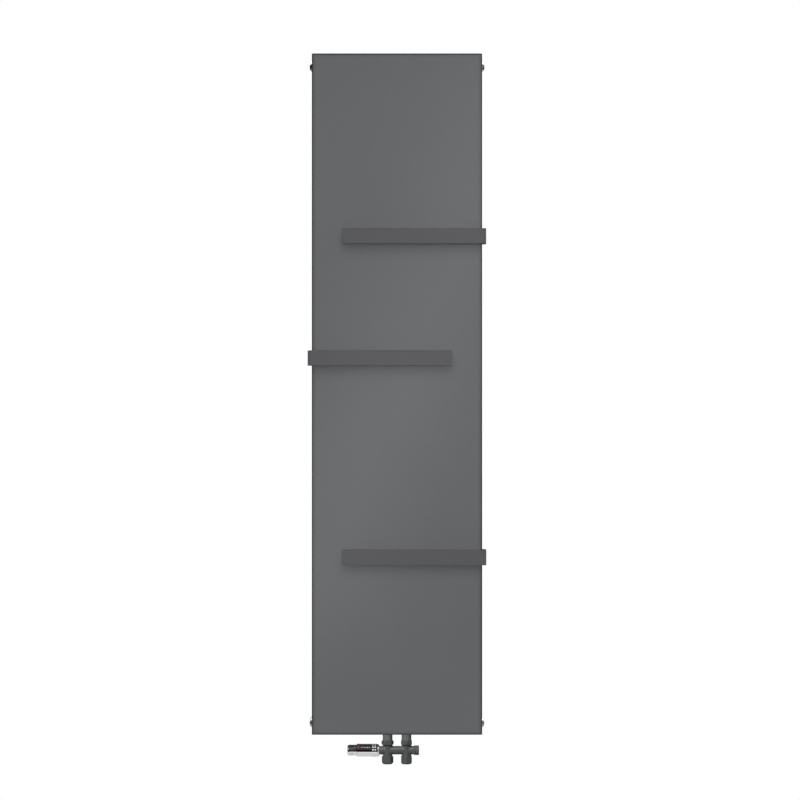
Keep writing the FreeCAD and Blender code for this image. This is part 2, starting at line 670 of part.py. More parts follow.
def hanging_lug(side, level):
    """An angle welded to a cross bar, with a hole for the hanging bolt."""
    foot_y = TUBE_REAR_Y + CROSS_BAR
    height = (level - LUG_HEIGHT / 2, level + LUG_HEIGHT / 2)
    foot = box((LUG_X, LUG_X + LUG_FOOT), (foot_y, foot_y + LUG_SHEET), height)
    plate = box((LUG_X, LUG_X + LUG_SHEET), (foot_y, BOLT_Y + LUG_TAIL), height)
    plate = plate.makeFillet(LUG_TAIL / 2, edges_along(plate, Vector(1, 0, 0), lambda m: m.y > BOLT_Y))
    hole = rod_x(HANG_BOLT_RADIUS + HANG_BOLT_CLEARANCE, LUG_X - 1, LUG_X + LUG_SHEET + 1, level, BOLT_Y)
    return placed(side, plate.fuse(foot).removeSplitter().cut(hole))


def wall_bracket(side, level):
    """An angle screwed to the wall, whose arm has an open hook for the hanging bolt."""
    arm_x = (LUG_X - BRACKET_SHEET, LUG_X)
    past = (arm_x[0] - 1, arm_x[1] + 1)
    height = (level - BRACKET_HEIGHT / 2, level + BRACKET_HEIGHT / 2)
    foot = box((LUG_X - BRACKET_FOOT, LUG_X), (-BRACKET_SHEET, 0), height)
    foot = foot.makeFillet(BRACKET_FOOT_RADIUS, edges_along(foot, Vector(0, 1, 0), lambda m: m.x < arm_x[0]))
    arm = box(arm_x, (BOLT_Y - BRACKET_ARM_REACH, 0), height)
    arm = arm.makeChamfer(BRACKET_ARM_CHAMFER, edges_along(arm, Vector(1, 0, 0), lambda m: m.y < BOLT_Y))
    hook = HANG_BOLT_RADIUS + HANG_BOLT_CLEARANCE
    notch = rod_x(hook, past[0], past[1], level, BOLT_Y)
    notch = notch.fuse(box(past, (BOLT_Y - hook, BOLT_Y + hook), (level, height[1] + 1)))
    wall_hole = rod_y(WALL_HOLE_RADIUS, -BRACKET_SHEET - 1, 1, LUG_X - WALL_HOLE_INSET, level)
    return placed(side, foot.fuse(arm).removeSplitter().cut(notch).cut(wall_hole))


def hanging_bolt(side, level):
    """A bolt through lug and hook, its head on the bracket's side."""
    head_face = LUG_X - BRACKET_SHEET
    tip = LUG_X + LUG_SHEET + HANG_NUT + HANG_BOLT_END
    head = hexagon(HANG_BOLT_HEX, HANG_BOLT_HEAD, Vector(head_face - HANG_BOLT_HEAD, BOLT_Y, level),
                   Vector(1, 0, 0))
    return placed(side, head.fuse(rod_x(HANG_BOLT_RADIUS, head_face, tip, level, BOLT_Y)))


def hanging_nut(side, level):
    """The nut that locks a hanging bolt against its lug."""
    start = LUG_X + LUG_SHEET
    nut = hexagon(HANG_BOLT_HEX, HANG_NUT, Vector(start, BOLT_Y, level), Vector(1, 0, 0), HANG_NUT_TURN)
    hole = rod_x(HANG_BOLT_RADIUS + RUNNING_CLEARANCE, start - 1, start + HANG_NUT + 1, level, BOLT_Y)
    return placed(side, nut.cut(hole))


# ---- connections
def socket(x):
    """A threaded socket welded under the lower header."""
    top = -HEADER_Z - HEADER_SIZE / 2
    sleeve = rod_z(SOCKET_RADIUS, SOCKET_BOTTOM, top, x)
    sleeve = sleeve.cut(rod_z(SOCKET_WATERWAY_RADIUS, SOCKET_BOTTOM - 1, top + 1, x))
    thread = rod_z(HALF_INCH_RADIUS + THREAD_CLEARANCE, SOCKET_BOTTOM - 1,
                   SOCKET_BOTTOM + SOCKET_THREAD_DEPTH, x)
    return sleeve.cut(thread)


def nipple(x):
    """The self-sealing nipple between a socket and the valve block."""
    bottom = COLLAR_TOP - NIPPLE_COLLAR
    top = SOCKET_BOTTOM + NIPPLE_SHANK
    part = rod_z(HALF_INCH_RADIUS, SOCKET_BOTTOM, top, x)
    part = part.fuse(rod_z(NIPPLE_NECK_RADIUS, COLLAR_TOP, SOCKET_BOTTOM, x))
    part = part.fuse(rod_z(NIPPLE_COLLAR_RADIUS, bottom, COLLAR_TOP, x))
    groove_z = top - O_RING_SETBACK
    groove = rod_z(HALF_INCH_RADIUS + 1, groove_z - O_RING_SECTION, groove_z + O_RING_SECTION, x)
    groove = groove.cut(rod_z(HALF_INCH_RADIUS - 2 * O_RING_SECTION, groove_z - O_RING_SETBACK, top, x))
    return part.cut(groove).cut(rod_z(WATERWAY_RADIUS, bottom - 1, top + 1, x))


def nipple_o_ring(x):
    """The seal in a nipple's groove."""
    centre = Vector(x, AXIS_Y, SOCKET_BOTTOM + NIPPLE_SHANK - O_RING_SETBACK)
    return o_ring(HALF_INCH_RADIUS - O_RING_SECTION, O_RING_SECTION, centre, Vector(0, 0, 1))


def hex_nut(across_flats, round_radius, bottom, top, x, turn, top_chamfer, foot):
    """A hexagonal blank turned down at its corners; foot is the lower chamfer's inset and height."""
    blank = hexagon(across_flats, top - bottom, Vector(x, AXIS_Y, bottom), Vector(0, 0, 1), turn)
    small = across_flats / 2 - NUT_CORNER_INSET
    outline = [(0, bottom), (small - foot[0], bottom), (round_radius, bottom + foot[1]),
               (round_radius, top - top_chamfer), (small, top), (0, top)]
    return blank.common(revolve_z(outline, x))


def union_nut(x, turn):
    """The nut that draws a nipple down onto the valve block."""
    top = COLLAR_TOP + UNION_LIP
    bottom = top - UNION_HEIGHT
    nut = hex_nut(UNION_HEX, UNION_ROUND_RADIUS, bottom, top, x, turn, UNION_TOP_CHAMFER,
                  (0, UNION_FOOT_CHAMFER))
    nut = nut.cut(rod_z(NIPPLE_NECK_RADIUS + UNION_NECK_CLEARANCE, bottom - 1, top + 1, x))
    return nut.cut(rod_z(PORT_THREAD_RADIUS + THREAD_CLEARANCE, bottom - 1, COLLAR_TOP, x))


def union_gasket(x):
    """The flat seal between a nipple and the valve block."""
    ring = rod_z(NIPPLE_COLLAR_RADIUS, BODY_TOP, BODY_TOP + UNION_GASKET, x)
    return ring.cut(rod_z(WATERWAY_RADIUS, BODY_TOP - 1, BODY_TOP + UNION_GASKET + 1, x))


def waterways(end):
    """The right-hand line's hollows: ports, pipe socket, chamber, seat, inlet and two channels."""
    seat_x = LINE_X + SEAT_OFFSET
    seat_back = seat_x - SEAT_THICKNESS
    port = CHAMBER_RADIUS + CHAMBER_TO_PORT
    port_end = VALVE_Z - PORT_LOWER_END
    return [
        rod_z(WATERWAY_RADIUS, VALVE_Z + port, BODY_TOP + 1, LINE_X),
        rod_z(WATERWAY_RADIUS, port_end - 1, VALVE_Z - port, LINE_X),
        rod_z(PIPE_RADIUS, port_end - 1, port_end + PIPE_SOCKET_DEPTH, LINE_X),
        rod_x(CHAMBER_RADIUS, seat_x, LINE_X + end + 1, VALVE_Z),
        rod_x(SEAT_RADIUS, seat_back - 1, seat_x + 1, VALVE_Z),
        rod_x(INLET_RADIUS, seat_back - INLET_LENGTH, seat_back, VALVE_Z),
        rod_z(CHANNEL_RADIUS, VALVE_Z, VALVE_Z + port + 1, LINE_X + CHANNEL_OFFSET),
        rod_z(CHANNEL_RADIUS, VALVE_Z - port - 1, VALVE_Z, LINE_X - CHANNEL_OFFSET),
    ]


def valve_body():
    """The H-shaped brass block with its two lines, joined by a cross tube."""
    port_end = VALVE_Z - PORT_LOWER_END
    body = rod_x(BODY_TUBE_RADIUS, out(BODY_LEFT_END), out(BODY_RIGHT_END, 1), VALVE_Z)
    for x in (-LINE_X, LINE_X):
        body = body.fuse(rod_z(BODY_COLUMN_RADIUS, port_end, BODY_TOP, x))
    crossings = [edge for edge in body.Edges if edge.Curve.TypeId == "Part::GeomBSplineCurve"]
    body = body.makeFillet(BODY_FILLET, crossings)
    for x in (-LINE_X, LINE_X):
        body = body.fuse(rod_z(PORT_THREAD_RADIUS, BODY_TOP - PORT_UPPER_LENGTH, BODY_TOP, x))
        body = body.fuse(rod_z(PORT_THREAD_RADIUS, port_end, VALVE_Z - PORT_LOWER_START, x))
    for hollow in waterways(BODY_RIGHT_END):
        body = body.cut(hollow)
    for hollow in waterways(BODY_LEFT_END):
        body = body.cut(mirror_x(hollow))
    return body


def pipe_nut(x, turn):
    """The lower nut that clamps the heating pipe."""
    top = VALVE_Z - LOWER_NUT_TOP
    bottom = top - LOWER_NUT_HEIGHT
    cone_top = VALVE_Z - PORT_LOWER_END - CLAMP_RING_GAP
    cone_floor = bottom + LOWER_NUT_FLOOR
    nut = hex_nut(LOWER_NUT_HEX, LOWER_NUT_ROUND_RADIUS, bottom, top, x, turn, LOWER_NUT_TOP_CHAMFER,
                  LOWER_NUT_FOOT)
    nut = nut.cut(rod_z(PORT_THREAD_RADIUS + THREAD_CLEARANCE, cone_top, top + 1, x))
    nut = nut.cut(Part.makeCone(CLAMP_RING_RADIUS - CLAMP_RING_TAPER, CLAMP_RING_RADIUS + THREAD_CLEARANCE,
                                cone_top - cone_floor, Vector(x, AXIS_Y, cone_floor), Vector(0, 0, 1)))
    return nut.cut(rod_z(PIPE_RADIUS, bottom - 1, top, x))


def clamp_ring(x):
    """The conical ring that bites on the pipe inside the lower nut."""
    floor = VALVE_Z - LOWER_NUT_TOP - LOWER_NUT_HEIGHT + LOWER_NUT_FLOOR + RUNNING_CLEARANCE
    top = VALVE_Z - PORT_LOWER_END - RUNNING_CLEARANCE
    ring = Part.makeCone(CLAMP_RING_RADIUS - CLAMP_RING_TAPER - THREAD_CLEARANCE,
                         CLAMP_RING_RADIUS - RUNNING_CLEARANCE, top - floor, Vector(x, AXIS_Y, floor),
                         Vector(0, 0, 1))
    return ring.cut(rod_z(PIPE_RADIUS, floor - 1, top + 1, x))


# ---- thermostatic insert
def gland_middle():
    """The middle of the spindle seal's groove."""
    return (SPRING_CHAMBER_END + GLAND_END) / 2


def thermostatic_insert():
    """The insert's housing: thread into the block, flange, head thread and spindle gland."""
    bore = SPINDLE_RADIUS + RUNNING_CLEARANCE
    housing = revolve_valve([
        (INSERT_INNER_END, SPRING_CHAMBER_RADIUS), (INSERT_INNER_END, INSERT_SHANK_RADIUS),
        (BODY_LEFT_END, INSERT_SHANK_RADIUS), (BODY_LEFT_END, INSERT_FLANGE_RADIUS),
        (HEAD_THREAD_START, INSERT_FLANGE_RADIUS), (HEAD_THREAD_START, HEAD_THREAD_RADIUS),
        (HEAD_THREAD_END, HEAD_THREAD_RADIUS), (HEAD_THREAD_END, GLAND_RADIUS), (GLAND_END, GLAND_RADIUS),
        (GLAND_END, bore), (SPRING_CHAMBER_END, bore), (SPRING_CHAMBER_END, SPRING_CHAMBER_RADIUS)])
    middle = gland_middle()
    start, end = middle - SPINDLE_GROOVE_WIDTH / 2, middle + SPINDLE_GROOVE_WIDTH / 2
    depth = bore + 2 * SPINDLE_SEAL_RADIUS
    groove = revolve_valve([(start, 1), (start, depth), (end, depth), (end, 1)])
    return housing.cut(groove)


def spindle_o_ring():
    """The seal round the spindle, inside the gland."""
    centre = Vector(out(gland_middle()), AXIS_Y, VALVE_Z)
    return o_ring(SPINDLE_RADIUS + RUNNING_CLEARANCE / 2 + SPINDLE_SEAL_RADIUS, SPINDLE_SEAL_RADIUS, centre,
                  Vector(1, 0, 0))


def spring_retainer():
    """The washer that closes the spring chamber and carries the return spring."""
    hole = SPINDLE_RADIUS + RETAINER_CLEARANCE
    end = INSERT_INNER_END + RETAINER
    return revolve_valve([(INSERT_INNER_END, hole), (INSERT_INNER_END, SPRING_CHAMBER_RADIUS),
                         (end, SPRING_CHAMBER_RADIUS), (end, hole)])


def valve_spindle():
    """The spindle with its spring collar and the disc's carrier."""
    collar_end = SPINDLE_COLLAR_POSITION + SPINDLE_COLLAR
    return revolve_valve([
        (CARRIER_FACE, 0), (CARRIER_FACE, DISC_RADIUS), (CARRIER_FACE + DISC_CARRIER, DISC_RADIUS),
        (CARRIER_FACE + DISC_CARRIER, SPINDLE_RADIUS), (SPINDLE_COLLAR_POSITION, SPINDLE_RADIUS),
        (SPINDLE_COLLAR_POSITION, SPINDLE_COLLAR_RADIUS), (collar_end, SPINDLE_COLLAR_RADIUS),
        (collar_end, SPINDLE_RADIUS), (SPINDLE_TIP, SPINDLE_RADIUS), (SPINDLE_TIP, 0)])


def valve_disc():
    """The rubber disc that closes on the seat."""
    return rod_x(DISC_RADIUS, out(CARRIER_FACE), out(CARRIER_FACE - DISC_RUBBER), VALVE_Z)


def return_spring():
    """The spring that opens the valve when the head lets it."""
    seat = INSERT_INNER_END + RETAINER
    return coil(SPRING_RADIUS, SPRING_WIRE, SPINDLE_COLLAR_POSITION, seat, SPRING_TURNS)


# ---- return insert
def return_insert():
    """The lockshield's housing on the right."""
    bore = STEM_RADIUS + RUNNING_CLEARANCE
    hub_bore = CONE_HUB_RADIUS + CONE_HUB_CLEARANCE
    return revolve_valve([
        (INSERT_INNER_END, hub_bore), (INSERT_INNER_END, INSERT_SHANK_RADIUS),
        (BODY_RIGHT_END, INSERT_SHANK_RADIUS), (BODY_RIGHT_END, RETURN_FLANGE_RADIUS),
        (RETURN_FLANGE_END, RETURN_FLANGE_RADIUS), (RETURN_FLANGE_END, bore), (STEM_INNER, bore),
        (STEM_INNER, hub_bore)], 1)


def lockshield_stem():
    """The stem that a hexagon key turns, with a square tang that carries the cone round."""
    inner, outer, seal = out(STEM_INNER, 1), out(STEM_OUTER, 1), out(STEM_SEAL_POSITION, 1)
    key = hexagon(STEM_HEX, STEM_HEX_DEPTH + 1, Vector(outer - STEM_HEX_DEPTH, AXIS_Y, VALVE_Z),
                  Vector(1, 0, 0), STEM_HEX_TURN)
    start, end = seal - STEM_SEAL_RADIUS, seal + STEM_SEAL_RADIUS
    groove = rod_x(STEM_RADIUS + 1, start, end, VALVE_Z)
    groove = groove.cut(rod_x(STEM_RADIUS - 2 * STEM_SEAL_RADIUS, start - 1, end + 1, VALVE_Z))
    half = STEM_TANG / 2
    tang = box((inner - STEM_TANG_LENGTH, inner), (AXIS_Y - half, AXIS_Y + half),
               (VALVE_Z - half, VALVE_Z + half))
    return rod_x(STEM_RADIUS, inner, outer, VALVE_Z).cut(key).cut(groove).fuse(tang)


def lockshield_o_ring():
    """The seal round the lockshield's stem."""
    centre = Vector(out(STEM_SEAL_POSITION, 1), AXIS_Y, VALVE_Z)
    return o_ring(STEM_RADIUS - STEM_SEAL_RADIUS, STEM_SEAL_RADIUS, centre, Vector(1, 0, 0))


def lockshield_cone():
    """The cone that throttles the return, sliding on the stem's tang."""
    face = LINE_X + SEAT_OFFSET + RUNNING_CLEARANCE + CONE_LIFT
    back = face + CONE_THICKNESS
    half = STEM_TANG / 2 + SLOT_CLEARANCE
    cone = rod_x(CONE_RADIUS, face, back, VALVE_Z)
    cone = cone.fuse(rod_x(CONE_HUB_RADIUS, back, back + CONE_HUB, VALVE_Z))
    slot = box((out(STEM_INNER, 1) - STEM_TANG_LENGTH - SLOT_END_CLEARANCE, back + CONE_HUB + 1),
               (AXIS_Y - half, AXIS_Y + half), (VALVE_Z - half, VALVE_Z + half))
    return cone.cut(slot)


def fluted(shape, flute, count):
    """A round piece with a groove repeated round the valve axis."""
    for i in range(count):
        shape = shape.cut(around_valve_axis(flute, 360 * i / count))
    return shape


def return_cap():
    """The fluted cap over the lockshield."""
    start = BODY_RIGHT_END + CAP_START_GAP
    bore = RETURN_FLANGE_RADIUS + THREAD_CLEARANCE
    cap = revolve_valve([
        (start, bore), (start, CAP_RADIUS - CAP_START_CHAMFER), (start + CAP_START_CHAMFER, CAP_RADIUS),
        (CAP_END - CAP_END_CHAMFER, CAP_RADIUS), (CAP_END, CAP_RADIUS - CAP_END_CHAMFER), (CAP_END, 0),
        (CAP_END - CAP_WALL, 0), (CAP_END - CAP_WALL, bore)], 1)
    flute = rod_x(CAP_FLUTE_RADIUS, out(start + CAP_FLUTE_START, 1), out(CAP_END - CAP_FLUTE_END, 1),
                  VALVE_Z + CAP_RADIUS)
    return fluted(cap, flute, CAP_FLUTES)


# ---- thermostat head
def coupling_nut():
    """The fluted nut that holds the head on the insert."""
    bore = HEAD_THREAD_RADIUS + THREAD_CLEARANCE
    nut = revolve_valve([
        (NUT_START, bore), (NUT_START, NUT_RADIUS - NUT_CHAMFER), (NUT_START + NUT_CHAMFER, NUT_RADIUS),
        (NUT_END, NUT_RADIUS), (NUT_END, NUT_LIP_RADIUS), (LIP_FACE, NUT_LIP_RADIUS), (LIP_FACE, bore)])
    flute = rod_x(NUT_FLUTE_RADIUS, out(SLEEVE_START), out(NUT_START + NUT_CHAMFER), VALVE_Z + NUT_RADIUS)
    return fluted(nut, flute, NUT_FLUTES)


def head_sleeve():
    """The chromed sleeve over the head, pierced by two rings of windows."""
    inner = SLEEVE_BORE
    mouth = KNOB_STEM_RADIUS + SLEEVE_MOUTH_CLEARANCE
    sleeve = revolve_valve([
        (SLEEVE_START, inner), (SLEEVE_START, SLEEVE_RADIUS - SLEEVE_START_CHAMFER),
        (SLEEVE_START + SLEEVE_START_CHAMFER, SLEEVE_RADIUS),
        (SLEEVE_END - SLEEVE_END_CHAMFER, SLEEVE_RADIUS),
        (SLEEVE_END, SLEEVE_RADIUS - SLEEVE_END_CHAMFER), (SLEEVE_END, mouth),
        (SLEEVE_END - SLEEVE_END_WALL, mouth), (SLEEVE_END - SLEEVE_END_WALL, inner)])
    for start in WINDOW_STARTS:
        window = rounded_bar((out(start + WINDOW_LENGTH), out(start)),
                             (AXIS_Y - SLEEVE_RADIUS - 1, AXIS_Y - inner + 1),
                             (VALVE_Z - WINDOW_HEIGHT / 2, VALVE_Z + WINDOW_HEIGHT / 2), WINDOW_CORNER,
                             Vector(0, 1, 0))
        sleeve = fluted(sleeve, around_valve_axis(window, WINDOW_TURN), WINDOW_COUNT)
    return sleeve


def head_base():
    """The fixed plastic core of the head, held by the coupling nut."""
    flange = HEAD_THREAD_RADIUS - BASE_FIT
    bearing = KNOB_STEM_RADIUS + RUNNING_CLEARANCE
    plunger = PLUNGER_RADIUS + RUNNING_CLEARANCE
    end = SLEEVE_END - SLEEVE_END_WALL
    base = revolve_valve([
        (HEAD_THREAD_END, BASE_MOUTH_RADIUS), (HEAD_THREAD_END, flange), (LIP_FACE, flange),
        (LIP_FACE, BASE_NECK_RADIUS), (BASE_BODY_START, BASE_NECK_RADIUS), (BASE_BODY_START, BASE_RADIUS),
        (BASE_STEP, BASE_RADIUS), (BASE_STEP, BASE_REAR_RADIUS), (end, BASE_REAR_RADIUS), (end, bearing),
        (BEARING_START, bearing), (BEARING_START, BASE_BORE_RADIUS), (BASE_FLOOR_END, BASE_BORE_RADIUS),
        (BASE_FLOOR_END, plunger), (BASE_FLOOR_START, plunger), (BASE_FLOOR_START, BASE_MOUTH_RADIUS)])
    clip_start, clip_end = CLIP_START - BASE_FIT, CLIP_START + CLIP + BASE_FIT
    outer = CLIP_OUTER_RADIUS + BASE_FIT
    groove = revolve_valve([(clip_start, CLIP_INNER_RADIUS), (clip_start, outer), (clip_end, outer),
                           (clip_end, CLIP_INNER_RADIUS)])
    return base.cut(groove)


def knob():
    """The setting knob: a chromed cup with a stem that turns in the base."""
    clip_end = CLIP_START + CLIP
    nose = KNOB_END - KNOB_NOSE_CHAMFER
    groove = [(nose - back, KNOB_RADIUS - depth) for back, depth in KNOB_GROOVE_OUTLINE]
    knob_end = [(KNOB_END - back, KNOB_RADIUS - depth) for back, depth in KNOB_NOSE_OUTLINE]
    body = revolve_valve([
        (KNOB_STEM_START, KNOB_BORE_RADIUS), (KNOB_STEM_START, KNOB_STEM_RADIUS),
        (CLIP_START, KNOB_STEM_RADIUS), (CLIP_START, CLIP_INNER_RADIUS),
        (clip_end, CLIP_INNER_RADIUS), (clip_end, KNOB_STEM_RADIUS),
        (KNOB_START, KNOB_STEM_RADIUS), (KNOB_START, KNOB_RADIUS - KNOB_REAR_CHAMFER),
        (KNOB_START + KNOB_REAR_CHAMFER, KNOB_RADIUS)] + groove + knob_end + [
        (KNOB_END, 0), (KNOB_END - KNOB_END_WALL, 0), (KNOB_END - KNOB_END_WALL, KNOB_BORE_RADIUS)])
    grip = rod_x(KNOB_GRIP_RADIUS, out(KNOB_END - KNOB_GRIP_END), out(KNOB_START + KNOB_GRIP_START),
                 VALVE_Z + KNOB_RADIUS + KNOB_GRIP_INSET)
    return fluted(body, around_valve_axis(grip, 180 / KNOB_GRIP_COUNT), KNOB_GRIP_COUNT)


def knob_clip():
    """The open ring that keeps the knob's stem in the base."""
    inner = CLIP_INNER_RADIUS + CLIP_CLEARANCE
    end = CLIP_START + CLIP
    ring = revolve_valve([(CLIP_START, inner), (CLIP_START, CLIP_OUTER_RADIUS), (end, CLIP_OUTER_RADIUS),
                         (end, inner)])
    mouth = box((out(end + 1), out(CLIP_START - 1)), (AXIS_Y, AXIS_Y + CLIP_OUTER_RADIUS + 1),
                (VALVE_Z - CLIP_MOUTH / 2, VALVE_Z + CLIP_MOUTH / 2))
    return ring.cut(mouth)


def sensor_capsule():
    """The liquid-filled capsule with its ribs and the plunger that presses the spindle."""
    outline = [(SPINDLE_TIP, 0), (SPINDLE_TIP, PLUNGER_RADIUS), (CAPSULE_START, PLUNGER_RADIUS)]
    pitch = (CAPSULE_END - CAPSULE_START) / CAPSULE_RIBS
    waist = CAPSULE_RADIUS - CAPSULE_RIB
    for i in range(CAPSULE_RIBS):
        start = CAPSULE_START + i * pitch
        middle = start + pitch / 2
        outline += [(start, CAPSULE_RADIUS), (middle, CAPSULE_RADIUS)]
        outline += [(middle, waist), (start + pitch, waist)]
    return revolve_valve(outline + [(CAPSULE_END, 0)])


def overtravel_spring():
    """The stiff spring that gives way if the capsule grows when the valve is already shut."""
    return coil(OVERTRAVEL_RADIUS, OVERTRAVEL_WIRE, CARRIER_START, CAPSULE_END, OVERTRAVEL_TURNS)


def sensor_carrier():
    """The ring that the knob drives along the axis."""
    return revolve_valve([(CARRIER_START, CARRIER_HOLE_RADIUS), (CARRIER_START, CARRIER_RADIUS),
                         (CARRIER_END, CARRIER_RADIUS), (CARRIER_END, CARRIER_HOLE_RADIUS)])


def temperature_mark(angles):
    """A small raised enamel mark on the sleeve, over a range of degrees above the front."""
    inner, outer = AXIS_Y - SLEEVE_RADIUS, AXIS_Y - SLEEVE_RADIUS - MARK_THICKNESS
    start, end = out(MARK_START), out(MARK_END)
    points = [Vector(end, inner, VALVE_Z), Vector(end, outer, VALVE_Z),
              Vector(start, outer, VALVE_Z), Vector(start, inner, VALVE_Z)]
    face = Part.Face(Part.makePolygon(points + points[:1]))
    first = around_valve_axis(face, -angles[0])
    return first.revolve(Vector(0, AXIS_Y, VALVE_Z), Vector(1, 0, 0), angles[0] - angles[1])


def build():
    """Every node by name."""
    corners = [(side, level) for side in (-1, 1) for level in (-HEADER_Z, HEADER_Z)]
    hangers = [(side, level) for side in (-1, 1) for level in (-CROSS_BAR_LEVEL, CROSS_BAR_LEVEL)]
    lines = (-LINE_X, LINE_X)
    parts = {
        "front_panel": front_panel(),
        "top_header": header(HEADER_Z),
        "bottom_header": bottom_header(),
        "header_baffle": header_baffle(),
        "header_ends": group([header_end(*corner) for corner in corners]),
        "blind_plugs": group([blind_plug(*corner) for corner in corners if corner != (1, HEADER_Z)]),
        "plug_gaskets": group([plug_gasket(*corner) for corner in corners]),
        "bleed_plug": bleed_plug(),
        "bleed_nozzle": bleed_nozzle(),
        "bleed_screw": bleed_screw(),
        "rail_plates": group([rail_plate(*rail) for rail in RAIL_LEVELS]),
        "rail_screws": group([rail_screw(*rail, offset)
                              for rail in RAIL_LEVELS for offset in RAIL_SCREW_OFFSETS]),
        "upper_cross_bar": cross_bar(CROSS_BAR_LEVEL),
        "lower_cross_bar": cross_bar(-CROSS_BAR_LEVEL),
        "hanging_lugs": group([hanging_lug(*hanger) for hanger in hangers]),
        "wall_brackets": group([wall_bracket(*hanger) for hanger in hangers]),
        "hanging_bolts": group([hanging_bolt(*hanger) for hanger in hangers]),
        "hanging_nuts": group([hanging_nut(*hanger) for hanger in hangers]),
        "supply_socket": socket(-LINE_X),
        "return_socket": socket(LINE_X),
        "supply_nipple": nipple(-LINE_X),
        "return_nipple": nipple(LINE_X),
        "nipple_o_rings": group([nipple_o_ring(x) for x in lines]),
        "supply_union_nut": union_nut(-LINE_X, UNION_TURNS[0]),
        "return_union_nut": union_nut(LINE_X, UNION_TURNS[1]),
        "union_gaskets": group([union_gasket(x) for x in lines]),
        "valve_body": valve_body(),
        "supply_pipe_nut": pipe_nut(-LINE_X, LOWER_NUT_TURNS[0]),
        "return_pipe_nut": pipe_nut(LINE_X, LOWER_NUT_TURNS[1]),
        "clamp_rings": group([clamp_ring(x) for x in lines]),
        "thermostatic_insert": thermostatic_insert(),
        "spindle_o_ring": spindle_o_ring(),
        "spring_retainer": spring_retainer(),
        "valve_spindle": valve_spindle(),
        "valve_disc": valve_disc(),
        "return_spring": return_spring(),
        "return_insert": return_insert(),
        "lockshield_stem": lockshield_stem(),
        "lockshield_o_ring": lockshield_o_ring(),
        "lockshield_cone": lockshield_cone(),
        "return_cap": return_cap(),
        "coupling_nut": coupling_nut(),
        "head_sleeve": head_sleeve(),
        "head_base": head_base(),
        "knob": knob(),
        "knob_clip": knob_clip(),
        "sensor_capsule": sensor_capsule(),
        "overtravel_spring": overtravel_spring(),
        "sensor_carrier": sensor_carrier(),
        "warm_mark": temperature_mark(MARK_ANGLES[0]),
        "cool_mark": temperature_mark(MARK_ANGLES[1]),
    }
    for name, (level, side) in zip(RAIL_NAMES, RAIL_LEVELS):
        parts[name] = towel_rail(level, side)
    for i, centre in enumerate(TUBE_CENTRES):
        parts[f"water_tube_{i + 1}"] = water_tube(centre)
    return parts


os.makedirs("parts", exist_ok=True)
for node, shape in build().items():
    shape.exportStep(os.path.join("parts", node + ".step"))
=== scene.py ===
"""Looks of the vertical radiator with towel rails and thermostatic valve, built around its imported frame."""
import json
import math
import random

import bmesh
import bpy
from mathutils import Matrix, Vector


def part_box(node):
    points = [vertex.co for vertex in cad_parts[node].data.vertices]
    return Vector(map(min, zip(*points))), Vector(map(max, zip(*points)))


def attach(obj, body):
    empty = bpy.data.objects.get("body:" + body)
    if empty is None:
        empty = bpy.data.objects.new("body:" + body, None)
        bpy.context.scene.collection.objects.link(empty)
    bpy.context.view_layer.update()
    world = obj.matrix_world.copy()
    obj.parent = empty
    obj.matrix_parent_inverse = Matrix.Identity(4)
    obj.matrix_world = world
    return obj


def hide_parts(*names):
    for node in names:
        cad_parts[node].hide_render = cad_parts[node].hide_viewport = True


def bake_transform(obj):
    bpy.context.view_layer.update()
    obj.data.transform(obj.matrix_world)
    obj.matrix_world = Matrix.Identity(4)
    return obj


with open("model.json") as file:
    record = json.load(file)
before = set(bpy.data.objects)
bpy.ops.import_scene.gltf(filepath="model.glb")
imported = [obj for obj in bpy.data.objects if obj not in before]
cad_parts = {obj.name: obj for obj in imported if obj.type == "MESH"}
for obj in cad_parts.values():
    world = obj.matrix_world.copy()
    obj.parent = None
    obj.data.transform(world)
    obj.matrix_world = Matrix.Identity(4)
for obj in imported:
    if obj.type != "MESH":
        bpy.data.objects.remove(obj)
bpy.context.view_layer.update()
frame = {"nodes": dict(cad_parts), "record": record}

NODES = frame["nodes"]

# ------------------------------------------------------------------ places, all in metres, in the row frame
PANEL_LOW, PANEL_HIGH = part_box("front_panel")
SLEEVE_LOW, SLEEVE_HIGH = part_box("head_sleeve")
KNOB_LOW, KNOB_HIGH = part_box("knob")
AXIS_Y = (SLEEVE_LOW.y + SLEEVE_HIGH.y) / 2
AXIS_Z = (SLEEVE_LOW.z + SLEEVE_HIGH.z) / 2
KNOB_RADIUS = (KNOB_HIGH.z - KNOB_LOW.z) / 2
SLEEVE_RADIUS = (SLEEVE_HIGH.z - SLEEVE_LOW.z) / 2

# ------------------------------------------------------------------ painted shade along the panel's folds
FOLD_DEPTH = 0.0025             # how far round a fold still counts as the front
SIDE_FOLD = 0.012               # width that the shading takes at the sides
END_FOLD = 0.011                # and at the top and bottom
# how far the painted shade darkens the colour, by share of the fold's width
FOLD_SHADE = [(0.0, 0.2), (0.2, 0.27), (0.27, 0.62), (0.5, 0.86), (1.0, 1.0)]

# ------------------------------------------------------------------ weld beads
WELD_STEP = 0.0007              # between two rings of a bead
WELD_SIDES = 10
WELD_RADIUS = 0.0013
WELD_INSET = 0.006              # from an edge to the end of a run
WELD_RIPPLE = 0.16              # depth of a ripple, as a share of the radius
WELD_RIPPLE_RINGS = 3
WELD_SCATTER = 0.04
WELD_TIP = 0.45                 # radius of the first ring, as a share
WELD_TAPER = 0.3                # and its rise from ring to ring
WELD_SEED = 7
CORNER_WELD_RADIUS = WELD_RADIUS * 0.7
SOCKET_WELD_POINTS = 96
HEADER_CAP = 0.009              # depth of a header's end cap, from its outer end to the joint
STITCH = 0.028                  # length of a stitch weld

